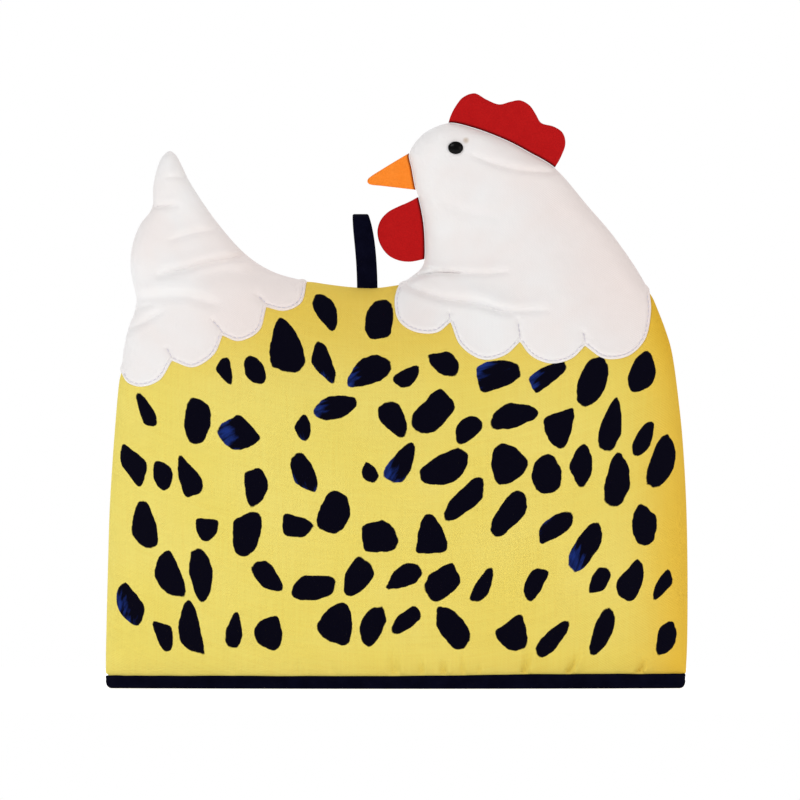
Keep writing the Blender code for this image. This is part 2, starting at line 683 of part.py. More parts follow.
def add_eyes(body):
    """A low oval dome on each side of the head, square to the cloth under it."""
    probe = 2.0
    spots = np.array([(EYE_X, EYE_Z), (EYE_X + probe, EYE_Z), (EYE_X, EYE_Z + probe)])
    depth = body.outer(spots)
    slope_x, slope_z = (depth[1:] - depth[0]) / probe
    out = Vector((-slope_x, -1, -slope_z)).normalized()
    out.y = -abs(out.y)
    seat = Vector((EYE_X, -depth[0], EYE_Z)) + out * (APPLIQUE_LIFT + FIT_GAP + 0.1)
    across = Vector((1, 0, 0))
    across = (across - out * across.dot(out)).normalized()
    up = across.cross(out).normalized()
    up = up if up.z > 0 else -up
    turn = Matrix((across, up, out)).transposed()

    sides = 20
    angles = np.linspace(0, 2 * math.pi, sides, endpoint=False)
    levels = ((0.94, 0.0), (1.0, 0.25), (0.9, 0.6), (0.66, 0.86))
    points = []
    for share, rise in levels:
        for angle in angles:
            local = Vector((share * EYE_LENGTH / 2 * math.cos(angle),
                            share * EYE_HEIGHT / 2 * math.sin(angle), rise * EYE_DOME))
            points.append(tuple(seat + turn @ local))
    points.append(tuple(seat + out * EYE_DOME))
    top = len(points) - 1
    faces = [list(range(sides))[::-1]]
    for level in range(len(levels) - 1):
        for i in range(sides):
            a, b = level * sides + i, level * sides + (i + 1) % sides
            faces.append([a, b, b + sides, a + sides])
    last = (len(levels) - 1) * sides
    faces += [[last + i, last + (i + 1) % sides, top] for i in range(sides)]
    add_mirrored_pair("eye", np.array(points), faces, "black_plastic")


def main():
    """Clear the scene and sew the cover together."""
    for leftover in list(bpy.data.objects):
        bpy.data.objects.remove(leftover)
    outline = Outline()
    body = Body(outline)
    tail_edge, neck_edge = (
        scallop_line(rows, outline.seam[outline.marks[run][0]],
                     outline.seam[outline.marks[run][-1]])
        for rows, run in ((TAIL_SCALLOPS, TAIL_RUN), (NECK_SCALLOPS, NECK_RUN)))

    edges = [(TAIL_RUN, tail_edge), (NECK_RUN, neck_edge)]
    plan, triangles = plan_mesh(outline, OUTER_RINGS, OUTER_GRID, edges)

    add_panels(outline, body, plan, triangles)
    add_white_shapes(outline, body, plan, triangles, "tail", TAIL_RUN, tail_edge)
    add_white_shapes(outline, body, plan, triangles, "neck", NECK_RUN, neck_edge)
    add_felt("comb", outline, COMB_EDGE, COMB_NECK_POINTS, "red_felt")
    add_felt("wattle", outline, WATTLE_EDGE, WATTLE_NECK_POINTS, "red_felt")
    add_felt("beak", outline, BEAK_EDGE, BEAK_NECK_POINTS, "orange_felt")
    add_binding(body)
    add_loop(outline)
    add_eyes(body)


main()
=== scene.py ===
"""Looks of a padded tea cosy in the outline of a sitting hen, laid out as an add-on.

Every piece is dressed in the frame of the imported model: X runs from tail to head,
the front panel faces -Y and +Z is up. Shapes are worked out in millimetres as
(x, z) plans with a depth for every point, and are turned to metres when a mesh is
made. The back of the cover is the front with its depth turned round, creased and
puckered in its own way.
"""
import functools
import math

import bpy
import numpy as np
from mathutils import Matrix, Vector
from mathutils.geometry import delaunay_2d_cdt


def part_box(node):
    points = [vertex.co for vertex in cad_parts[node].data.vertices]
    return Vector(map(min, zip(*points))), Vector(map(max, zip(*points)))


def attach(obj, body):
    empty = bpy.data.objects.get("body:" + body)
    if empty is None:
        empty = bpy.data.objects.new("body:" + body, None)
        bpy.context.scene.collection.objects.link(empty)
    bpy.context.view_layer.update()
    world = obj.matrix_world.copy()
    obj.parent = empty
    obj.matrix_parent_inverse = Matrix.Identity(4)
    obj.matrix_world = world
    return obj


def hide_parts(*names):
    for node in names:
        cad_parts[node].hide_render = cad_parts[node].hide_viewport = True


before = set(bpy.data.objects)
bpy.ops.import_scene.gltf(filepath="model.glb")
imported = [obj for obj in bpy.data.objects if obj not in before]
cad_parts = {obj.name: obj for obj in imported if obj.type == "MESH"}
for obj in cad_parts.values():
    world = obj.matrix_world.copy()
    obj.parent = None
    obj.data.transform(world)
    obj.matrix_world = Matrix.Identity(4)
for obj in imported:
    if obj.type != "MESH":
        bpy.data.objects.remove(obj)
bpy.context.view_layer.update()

bl_info = {
    "name": "Hen Tea Cosy",
    "version": (1, 0, 0),
    "blender": (4, 5, 0),
    "location": "3D View > Sidebar > Tea Cosy",
    "description": "Dresses the packed tea cosy in printed cotton, felt and tape",
    "category": "Object",
}

METRES_PER_MM = 0.001
BODY = "root"
FRONT, BACK = -1, 1          # the sign of Y on each side


def node_box(name):
    """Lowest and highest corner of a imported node, in millimetres."""
    return [np.array(corner) / METRES_PER_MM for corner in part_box(name)]


# ---------------------------------------------------------------- driving sizes
HEM_LOW, HEM_HIGH = node_box("hem_binding")
HEM_CENTRE_X = (HEM_LOW[0] + HEM_HIGH[0]) / 2
HEM_WIDTH = HEM_HIGH[0] - HEM_LOW[0]
HEM_DEPTH = HEM_HIGH[1] - HEM_LOW[1]
BINDING_HEIGHT = HEM_HIGH[2]

BINDING_CLOTH = 1.2          # thickness of the folded bias tape
BINDING_CORNER = 3.8         # rounding of its lower corners at the flanks
BINDING_SWAY = 0.16          # how far its rim sways up and down along the hem
BINDING_RISE = 0.55          # how far the rim climbs above its middle height at the head
RISE_X, RISE_RUN = 45.0, 25.0   # where it climbs, and over what length
FIT_GAP = 0.3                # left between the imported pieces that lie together
CLOSE_GAP = 0.15             # left between the dressed pieces that lie together
SEAM_BITE = 0.04             # how far each panel passes the seam's plane where it is sewn
BINDING_TUCK = BINDING_CLOTH + FIT_GAP
APPLIQUE_LIFT = 1.3          # how far the white cloth carries the outline out
STITCH_SINK = 0.42           # share of the white cloth's thickness that a stitch presses in
TURNED_EDGE = (3.2, 5.6)     # distance from its edge over which the turned fold ends
PANEL_HALF_WIDTH = HEM_WIDTH / 2 - BINDING_TUCK
PANEL_FOOT_Z = BINDING_TUCK
BAND_TOP_Z = BINDING_HEIGHT + 1.0   # the panels are straight up to here

PANEL_WALL = 6.5             # cotton, wadding and inner cotton together
HEM_WALL = 4.0               # the same, pressed by the binding
FILLED_WALL = 24.0           # enough to close the hollow in head and tail
FILL_FROM_Z, FILL_TO_Z = 205.0, 255.0
PILLOW_HEIGHT = 5.5          # rise of the padding beside the seam
PILLOW_WIDTH = 9.0           # distance over which it rises
HEM_SQUEEZE = 0.5            # share of that rise left under the binding
SQUEEZE_END_Z = 26.0
FULLNESS = 1.35              # crown of the panels against a plain arched sheet

EYE_X, EYE_Z = 35.6, 326.0
LOOP_FOOT_X = -17.7
LOOP_WIDTH = 12.4
LOOP_TUCK = 0.9              # how far its feet go down into the seam
LOOP_BULGE = 4.8             # half the distance between the loop's two legs
LOOP_LEAN = -3.9             # sideways shift of the loop's top
LOOP_NARROWING = 0.24        # share of its width that it loses towards the top

# ---------------------------------------------------------------- print
PRINT_X, PRINT_Z = (-176.0, 191.0), (34.0, 268.0)   # where rows of dabs begin and end
DAB_COLUMN = 0.86            # distance from dab to dab in a row, against that of two rows
DAB_SHAKE = 0.20             # how far the draw shakes each one, against the same
MIDDLE_LEAN = 24             # degrees that a dab in the middle leans to the head's side
FLANK_SPREAD, MIDDLE_SPREAD = 13, 32   # degrees of spread at the flanks, and added inside
SMALL_SHARE, SMALL_SIZE = 0.20, 0.72   # how many dabs are small, and how small
DAB_KINDS = 48               # each dab draws a kind, a number from 0 to this
DRY_KIND = 41.0              # the kinds above this were brushed half dry
SEAM_ROOM, HEM_ROOM, TAIL_ROOM, NECK_ROOM = 4.0, 19.0, 4.5, 0.8   # kept free of dabs
SETTLING_ROUNDS = 180        # how often the dabs push each other apart
CUT_ROUNDING = 1.1           # rounding of the corners where a straight side cuts a dab off
EDGE_FRAY, EDGE_WANDER = 0.35, 2.0   # how far a printed dab's edge strays
EDGE_SOFTNESS = 0.18         # half the width over which the ink ends
DYE_CLOUD = 60.0             # size of the clouds in the yellow dye

# ---------------------------------------------------------------- mesh density
OUTLINE_STEP = 1.8
SCALLOP_STEP = 1.2
SEAM_RINGS = (0.35, 0.9, 1.7, 2.7, 3.9, 5.3, 7.0, 9.0)
EDGE_RINGS = (0.12, 0.35, 0.7, 1.1, 1.45, 1.8, 2.2, 2.8, 3.6, 4.8)
PANEL_GRID = 1.7
HEM_GRID = 0.9               # the same just above the binding, for its puckers
HEM_GRID_HEIGHT = 22.0
CREASE_OFFSETS = (0.0, -0.8, 0.8, -1.6, 1.6, -2.5, 2.5)
DART_OFFSETS = (-2.0, -1.1, -0.5, 0.0, 0.5, 1.1, 2.0)
CREASE_BOX, STITCH_BOX = 65.0, 45.0   # half the square round a line in which it is felt
WHITE_GRID = 1.5
LINING_RINGS = (3.0, 8.0)
LINING_GRID = 6.0
MEMBRANE_CELL = 4.0
MEMBRANE_ROUNDS, MEMBRANE_HURRY = 420, 1.93   # rounds of relaxing it, and its overshoot
TILE = 10.0                  # points are measured in tiles of this width

# ---------------------------------------------------------------- outlines
# Each run lists (x, z) points of the sewn outline, from the tail's side of the
# hem round to the head's side. A smooth curve passes through all of them.
TAIL_FLANK = [
    (HEM_CENTRE_X - PANEL_HALF_WIDTH, PANEL_FOOT_Z),
    (HEM_CENTRE_X - PANEL_HALF_WIDTH, BINDING_HEIGHT),
    (-175.4, BINDING_HEIGHT + 0.8), (-175.5, 13.0), (-175.5, 20.0), (-174.9, 47.0),
    (-174.2, 75.0), (-173.2, 108.0), (-171.6, 135.0), (-169.9, 158.0), (-167.9, 181.0),
]
TAIL = [
    (-166.6, 191.0), (-165.0, 205.0), (-162.2, 217.6), (-158.8, 226.5),
    (-157.4, 234.5), (-159.8, 246.0), (-161.0, 256.0), (-159.6, 268.5),
    (-154.8, 280.5), (-148.1, 289.8), (-147.3, 302.6), (-145.2, 313.0),
    (-141.6, 321.3), (-136.9, 324.7), (-133.4, 322.6), (-123.9, 304.7),
    (-108.3, 281.8), (-90.7, 262.1), (-75.0, 252.0), (-54.0, 246.0),
]
SADDLE = [(-36.6, 243.1), (-21.0, 241.7), (-8.0, 242.0)]
NECK = [
    (1.3, 244.1), (8.5, 248.6), (14.6, 253.8), (16.6, 259.0), (16.9, 268.0),
    (15.9, 282.0), (12.9, 296.5), (11.4, 300.8), (8.9, 314.0), (7.4, 323.0),
    (13.4, 332.6), (20.5, 337.8), (31.3, 341.4), (44.0, 339.1), (66.0, 331.0),
    (80.5, 323.4), (95.6, 314.3), (116.0, 291.0), (130.0, 274.7),
    (144.5, 254.2), (152.9, 239.4),
]
HEAD_FLANK = [
    (157.7, 228.3), (162.3, 216.2), (165.9, 204.1), (170.9, 167.9),
    (173.1, 143.8), (174.9, 110.0), (175.6, 75.0), (175.6, 42.0),
    (175.3, 24.0), (174.8, 14.0), (174.4, BINDING_HEIGHT + 0.8),
    (HEM_CENTRE_X + PANEL_HALF_WIDTH, BINDING_HEIGHT),
    (HEM_CENTRE_X + PANEL_HALF_WIDTH, PANEL_FOOT_Z),
]
OUTLINE_RUNS = (TAIL_FLANK, TAIL, SADDLE, NECK, HEAD_FLANK)
TAIL_RUN, NECK_RUN = 1, 3    # their places in the runs

# Lower edges of the white shapes: one row of (x, z) points for each scallop.
TAIL_SCALLOPS = [
    [(-162.7, 184.8), (-154.5, 181.9), (-143.1, 185.8), (-135.4, 197.5)],
    [(-122.9, 193.6), (-110.2, 201.2), (-104.9, 212.7)],
    [(-95.4, 209.4), (-83.0, 215.5), (-78.5, 229.8)],
    [(-67.4, 227.7), (-57.5, 232.6)],
]
NECK_SCALLOPS = [
    [(-1.2, 235.0), (1.2, 221.8), (10.9, 215.0), (24.4, 214.6), (32.5, 220.7)],
    [(38.6, 206.6), (52.0, 198.2), (65.5, 201.0), (74.4, 208.9)],
    [(81.1, 200.5), (93.0, 195.9), (105.5, 198.9), (113.6, 206.5)],
    [(125.2, 198.9), (139.7, 200.5), (149.9, 210.5), (153.4, 227.8)],
]
# Edge stitching runs on from each notch into the white cloth, to these points.
TAIL_DARTS = [
    [(-135.4, 199.8), (-136.9, 202.6), (-138.4, 205.2)],
    [(-104.9, 214.8), (-107.3, 218.0), (-110.9, 221.6)],
    [(-78.9, 232.2), (-81.0, 234.3), (-84.6, 237.0)],
]
NECK_DARTS = [
    [(32.2, 223.2), (31.9, 226.6)],
    [(74.4, 211.4), (73.9, 216.0), (73.1, 222.0)],
    [(113.6, 208.8), (113.2, 211.8), (112.4, 214.6)],
]

# Free edges of the felt pieces and the two points of NECK that each is sewn between.
COMB_EDGE = [
    (32.7, 345.7), (35.5, 351.1), (40.1, 356.7), (47.1, 359.1), (54.1, 355.4),
    (61.9, 352.4), (68.6, 354.0), (74.5, 354.9), (80.2, 351.9), (84.0, 346.5),
    (87.2, 341.3), (94.9, 339.0), (100.2, 335.3), (101.9, 328.8), (99.1, 320.5),
]
COMB_NECK_POINTS = (12, 16)
WATTLE_EDGE = [
    (6.9, 293.3), (0.9, 290.7), (-5.2, 287.4), (-9.6, 282.6), (-11.6, 276.0),
    (-10.0, 268.1), (-5.2, 261.5), (0.9, 258.3), (8.0, 257.4),
]
WATTLE_NECK_POINTS = (6, 3)
BEAK_EDGE = [
    (-0.5, 318.3), (-9.0, 313.1), (-15.4, 309.0), (-17.5, 307.0), (-17.6, 305.3),
    (-16.1, 304.1), (-9.0, 303.2), (0.5, 302.1),
]
BEAK_NECK_POINTS = (9, 7)

# Creases in the cloth: depth, half width, then the (x, z) points of the bottom. The
# padding rolls up a little on the left of each line's direction. A line that begins
# outside the cover is as deep at the seam as in its middle. A ridge's depth is negative.
TAIL_CREASES = [
    (1.7, 1.7, [(-154.0, 289.0), (-147.0, 290.2), (-140.0, 290.9), (-134.0, 291.2)]),
    (2.4, 2.3, [(-143.0, 249.4), (-124.7, 253.9), (-114.1, 257.0), (-103.6, 258.8),
                (-84.0, 262.0)]),
    (1.4, 6.0, [(-118.0, 249.5), (-102.0, 252.3), (-86.0, 249.5), (-72.0, 245.5)]),
    (1.2, 3.2, [(-160.0, 233.0), (-150.0, 235.3), (-138.0, 236.3), (-124.7, 235.8),
                (-108.0, 231.0)]),
    (-0.6, 3.6, [(-158.0, 241.0), (-142.0, 243.0), (-124.0, 243.6)]),
    (1.4, 2.1, [(-167.0, 213.5), (-158.0, 217.8), (-150.0, 222.0), (-142.0, 227.0)]),
    (1.0, 1.6, [(-166.0, 228.0), (-157.0, 229.0), (-148.0, 231.0)]),
    (0.9, 1.6, [(-139.0, 308.6), (-131.0, 308.3), (-121.0, 306.5)]),
    (0.9, 2.3, [(-137.0, 270.3), (-120.0, 275.0), (-104.0, 277.0)]),
]
NECK_CREASES = [
    (1.4, 1.8, [(-2.0, 240.5), (8.0, 246.0), (17.0, 249.6), (28.0, 250.7), (40.0, 250.2),
                (54.0, 249.9), (66.0, 251.0)]),
    (1.9, 1.3, [(-6.0, 238.5), (3.0, 243.6), (12.0, 247.8), (20.0, 250.0), (29.0, 250.7),
                (38.0, 250.4)]),
    (0.8, 1.2, [(11.0, 256.6), (18.0, 253.6), (25.0, 252.3)]),
    (2.5, 2.3, [(2.0, 244.2), (11.1, 240.6), (21.2, 236.7), (31.2, 234.2), (43.3, 232.7),
                (53.4, 230.7), (61.4, 227.5), (69.0, 226.4)]),
    (0.9, 2.0, [(58.0, 228.6), (73.5, 227.4), (90.0, 228.0)]),
    (-0.7, 4.2, [(20.0, 246.5), (35.0, 243.0), (50.0, 239.5), (68.0, 233.5)]),
    (1.3, 2.0, [(46.0, 321.2), (58.0, 316.5), (67.4, 313.8), (79.5, 311.8), (100.0, 311.2)]),
    (0.4, 3.4, [(24.0, 296.0), (40.0, 288.0), (60.0, 284.0)]),
]

# Puckers where the binding gathers the front's cloth: x of the foot, lean, height, depth
# as a share of the usual pucker's, and half width.
HEM_PUCKERS = [
    (-151.0, 1.0, 9.0, 0.3, 2.2), (-128.0, -1.0, 12.0, 0.3, 2.6), (-99.0, 1.0, 10.0, 0.3, 2.4),
    (-61.0, 2.0, 8.0, 0.4, 2.6), (-38.0, -1.0, 11.0, 0.3, 2.2), (-1.3, -1.5, 24.0, 1.0, 2.9),
    (14.9, 0.0, 11.0, 0.8, 1.6), (28.1, 0.4, 10.0, 1.1, 1.9), (39.7, 0.7, 16.0, 0.8, 1.8),
    (49.4, 0.5, 7.0, 0.6, 1.5), (76.5, 4.5, 21.0, 1.3, 2.2), (103.0, 9.0, 17.0, 1.3, 2.1),
    (145.5, 6.0, 11.0, 1.2, 2.0),
]


def metres(millimetres):
    """A length in metres, as Blender's distance properties hold it."""
    return millimetres * METRES_PER_MM


def linear(hexa):
    """Linear red, green, blue and full opacity of an sRGB hex colour."""
    value = np.array([int(hexa[i:i + 2], 16) for i in (1, 3, 5)]) / 255
    curved = np.where(value <= 0.04045, value / 12.92, ((value + 0.055) / 1.055) ** 2.4)
    return (*curved.tolist(), 1.0)


# ---------------------------------------------------------------- plane curves
def smooth_curve(points, step):
    """Samples of a centripetal Catmull-Rom curve, and the index of each given point.

    Between two points the curve is the blend, by knots spaced by the square root of
    the distance, of the parabolas through the points before and after.
    """
    points = np.asarray(points, float)
    padded = np.vstack([2 * points[0] - points[1], points, 2 * points[-1] - points[-2]])
    pieces = [points[:1]]
    marks = [0]
    for i in range(1, len(padded) - 2):
        a, b, c, d = padded[i - 1:i + 3]
        knots = np.cumsum([0.0] + [math.sqrt(np.linalg.norm(q - p))
                                   for p, q in ((a, b), (b, c), (c, d))])
        ta, tb, tc, td = knots
        count = max(1, round(float(np.linalg.norm(c - b)) / step))
        t = np.linspace(tb, tc, count + 1)[1:, None]
        ab = (a * (tb - t) + b * (t - ta)) / (tb - ta)
        bc = (b * (tc - t) + c * (t - tb)) / (tc - tb)
        cd = (c * (td - t) + d * (t - tc)) / (td - tc)
        abc = (ab * (tc - t) + bc * (t - ta)) / (tc - ta)
        bcd = (bc * (td - t) + cd * (t - tb)) / (td - tb)
        pieces.append((abc * (tc - t) + bcd * (t - tb)) / (tc - tb))
        marks.append(marks[-1] + count)
    return np.vstack(pieces), marks


def left_normals(line):
    """Unit normals on the left of an open line, averaged at its inner points."""
    along = np.diff(line, axis=0)
    along /= np.linalg.norm(along, axis=1)[:, None]
    normals = np.column_stack([-along[:, 1], along[:, 0]])
    at_points = np.vstack([normals[:1], normals[:-1] + normals[1:], normals[-1:]])
    return at_points / np.linalg.norm(at_points, axis=1)[:, None]


def all_distances(points, start, along):
    """Distance from each point to each segment, one row for each point."""
    offset = points[:, None, :] - start[None]
    share = np.clip((offset * along).sum(2) / (along ** 2).sum(1), 0, 1)
    return np.sqrt(((offset - share[..., None] * along) ** 2).sum(2))


def distance_to_line(points, line):
    """Shortest distance from each point to an open line of segments.

    Many points are taken in square tiles. In a tile only those segments are measured
    that lie within the tile's diagonal of the one nearest to its middle.
    """
    start, along = line[:-1], np.diff(line, axis=0)
    if len(points) * len(start) < 30000:
        return all_distances(points, start, along).min(1)
    tiles, which = np.unique(np.floor(points / TILE), axis=0, return_inverse=True)
    which = which.ravel()
    order = np.argsort(which, kind="stable")
    first = np.searchsorted(which[order], np.arange(len(tiles) + 1))
    reach = all_distances((tiles + 0.5) * TILE, start, along)
    close = reach <= reach.min(1)[:, None] + TILE * math.sqrt(2)
    found = np.empty(len(points))
    for number in range(len(tiles)):
        rows = order[first[number]:first[number + 1]]
        use = close[number]
        found[rows] = all_distances(points[rows], start[use], along[use]).min(1)
    return found


def inside_polygon(points, polygon):
    """Even-odd test of each point against a closed polygon."""
    x0, z0 = polygon.T
    x1, z1 = np.roll(polygon, -1, axis=0).T
    rise = np.where(z1 == z0, 1.0, z1 - z0)
    found = []
    for block in np.array_split(points, max(1, len(points) * len(polygon) // 1500000)):
        x, z = block[:, :1], block[:, 1:]
        crosses = (z0 > z) != (z1 > z)
        found.append((crosses & (x < x0 + (z - z0) / rise * (x1 - x0))).sum(1) % 2 == 1)
    return np.concatenate(found)


def in_depth(plan, depth):
    """Points in space from those of a plan, (x, z), and the depth y of each."""
    return np.column_stack([plan[:, 0], depth, plan[:, 1]])


def near_line(points, line, reach):
    """Which points lie in the square that reaches so far from a line's middle."""
    return np.abs(points - line.mean(0)).max(1) < reach


def smooth_step(value, low, high):
    """Ease from 0 at low to 1 at high."""
    share = np.clip((value - low) / (high - low), 0, 1)
    return share * share * (3 - 2 * share)


def line_length(line):
    """Distance along a line up to each of its points."""
    return np.concatenate([[0], np.cumsum(np.linalg.norm(np.diff(line, axis=0), axis=1))])


def even_steps(line, step):
    """The same line with its points an even step apart."""
    along = line_length(line)
    places = np.linspace(0, along[-1], max(2, round(along[-1] / step) + 1))
    return np.column_stack([np.interp(places, along, column) for column in line.T])


PLAN_STEP = 2.0
PLAN_X = np.arange(-184.0, 184.1, PLAN_STEP)
PLAN_Z = np.arange(0.0, 364.1, PLAN_STEP)


def plan_grid():
    """Points of an even grid over the whole plan, row by row from the hem up."""
    return np.stack(np.meshgrid(PLAN_X, PLAN_Z), axis=-1).reshape(-1, 2)


def read_plan(grid, points):
    """Values of a grid over the plan at each point, blended between its four nodes."""
    place = (points - (PLAN_X[0], PLAN_Z[0])) / PLAN_STEP
    place = np.clip(place, 0, (len(PLAN_X) - 1.001, len(PLAN_Z) - 1.001))
    cell = place.astype(int)
    u, v = (place - cell).T[..., None]
    i, j = cell.T
    lower = grid[j, i] * (1 - u) + grid[j, i + 1] * u
    upper = grid[j + 1, i] * (1 - u) + grid[j + 1, i + 1] * u
    return lower * (1 - v) + upper * v


# ---------------------------------------------------------------- the cover's form
class Outline:
    """The hen's sewn outline, and the panel's own one under the white cloth."""

    def __init__(self):
        points = [point for run in OUTLINE_RUNS for point in run]
        self.sewn, marks = smooth_curve(points, OUTLINE_STEP)
        self.outward = left_normals(self.sewn)
        first_rows = np.cumsum([0] + [len(run) for run in OUTLINE_RUNS])
        self.marks = [marks[a:b] for a, b in zip(first_rows, first_rows[1:])]
        self.seam = self.sewn - self.outward * self._lift()[:, None]
        near = np.array(SEAM_RINGS)
        far = np.arange(near[-1] + PANEL_GRID, PANEL_HALF_WIDTH, PANEL_GRID)
        reach = PANEL_HALF_WIDTH - np.concatenate([near, far])
        hem_x = HEM_CENTRE_X + np.concatenate([reach, -reach[::-1]])
        self.hem = np.column_stack([hem_x, np.full(len(hem_x), PANEL_FOOT_Z)])
        self.polygon = np.vstack([self.seam, self.hem])

    def _lift(self):
        """How far the white cloth carries the edge out, eased at its ends."""
        along = line_length(self.sewn)
        lift = np.zeros(len(self.sewn))
        for run in (TAIL_RUN, NECK_RUN):
            start, end = along[self.marks[run][0]], along[self.marks[run][-1]]
            depth = np.minimum(along - start, end - along)
            lift += APPLIQUE_LIFT * smooth_step(depth, -6.0, 6.0)
        return lift

    def stretch(self, run, first=0, last=-1):
        """Indices of the samples between two points of a run."""
        a, b = self.marks[run][first], self.marks[run][last]
        return np.arange(a, b + 1) if a < b else np.arange(a, b - 1, -1)


def scallop_rows(rows, start, end):
    """One sampled line for each scallop, from start to end of the whole edge."""
    lines = []
    for number, row in enumerate(rows):
        closing = [end] if number == len(rows) - 1 else []
        lines.append(smooth_curve([start, *row, *closing], SCALLOP_STEP)[0])
        start = lines[-1][-1]
    return lines


def hem_crown(x):
    """Arch of the sheet along the hem, a parabola, without the padding by the seam."""
    share = (x - HEM_CENTRE_X) / PANEL_HALF_WIDTH
    middle = HEM_DEPTH / 2 - BINDING_TUCK - PILLOW_HEIGHT * HEM_SQUEEZE
    return middle * (1 - share ** 2)


class Membrane:
    """A loaded sheet held by the seam and by the arched hem line.

    Its depth d solves (second difference of d) = -load on a square grid, with
    d = 0 on the seam and d = hem_crown(x) at the top of the hem's straight band.
    """

    def __init__(self, outline):
        self.low = np.array([-184.0, BAND_TOP_Z])
        self.counts = (np.array([368.0, 336.0]) / MEMBRANE_CELL + 1).astype(int)
        self.sheet = self._stretch(outline)

    def _stretch(self, outline):
        columns, rows = self.counts
        x = self.low[0] + MEMBRANE_CELL * np.arange(columns)
        z = self.low[1] + MEMBRANE_CELL * np.arange(rows)
        flat = np.stack(np.meshgrid(x, z), axis=-1).reshape(-1, 2)
        distance = distance_to_line(flat, outline.seam).reshape(rows, columns)
        held_inside = inside_polygon(flat, outline.polygon).reshape(rows, columns)
        signed = np.where(held_inside, distance, -distance)
        sheet = np.zeros((rows, columns))
        sheet[0] = np.where(held_inside[0], hem_crown(x), 0)

        middle = hem_crown(HEM_CENTRE_X)
        load = FULLNESS * 2 * middle / PANEL_HALF_WIDTH ** 2 * MEMBRANE_CELL ** 2
        core = held_inside[1:-1, 1:-1]
        least = 0.2 * MEMBRANE_CELL
        near = np.maximum(signed[1:-1, 1:-1], least)
        weight = np.full(core.shape, 4.0)
        sides = ((-1, 0), (1, 0), (0, -1), (0, 1))
        for side in sides:
            beside = np.roll(signed, side, axis=(0, 1))[1:-1, 1:-1]
            weight += np.where(beside < 0, -beside / near, 0)
        parity = np.add.outer(np.arange(rows), np.arange(columns))[1:-1, 1:-1] % 2
        for _ in range(MEMBRANE_ROUNDS):
            for colour in (0, 1):
                total = sum(np.roll(sheet, side, axis=(0, 1))[1:-1, 1:-1] for side in sides)
                change = MEMBRANE_HURRY * ((total + load) / weight - sheet[1:-1, 1:-1])
                sheet[1:-1, 1:-1] += np.where(core & (parity == colour), change, 0)

        # Just outside the seam the sheet is carried on straight through zero.
        outside_sum, outside_count = np.zeros((2, rows, columns))
        for side in sides:
            value = np.roll(sheet, side, axis=(0, 1))
            inner = np.roll(signed, side, axis=(0, 1))
            use = (signed < 0) & (inner > 0)
            outside_sum += np.where(use, value * signed / np.maximum(inner, least), 0)
            outside_count += use
        return np.where(signed < 0, outside_sum / np.maximum(outside_count, 1), sheet)

    def depth(self, points):
        """The sheet's depth at each point, by a Catmull-Rom surface over the grid."""
        place = (points - self.low) / MEMBRANE_CELL
        place = np.clip(place, 0, self.counts - 1.001)
        cell = place.astype(int)
        u, v = (place - cell).T

        def weights(t):
            return np.stack([t * ((2 - t) * t - 1), t * t * (3 * t - 5) + 2,
                             t * ((4 - 3 * t) * t + 1), (t - 1) * t * t]) / 2

        across, up = weights(u), weights(v)
        total = np.zeros(len(points))
        for row in range(4):
            j = np.clip(cell[:, 1] + row - 1, 0, self.counts[1] - 1)
            for column in range(4):
                i = np.clip(cell[:, 0] + column - 1, 0, self.counts[0] - 1)
                total += up[row] * across[column] * self.sheet[j, i]
        in_band = points[:, 1] <= BAND_TOP_Z
        return np.maximum(np.where(in_band, hem_crown(points[:, 0]), total), 0)


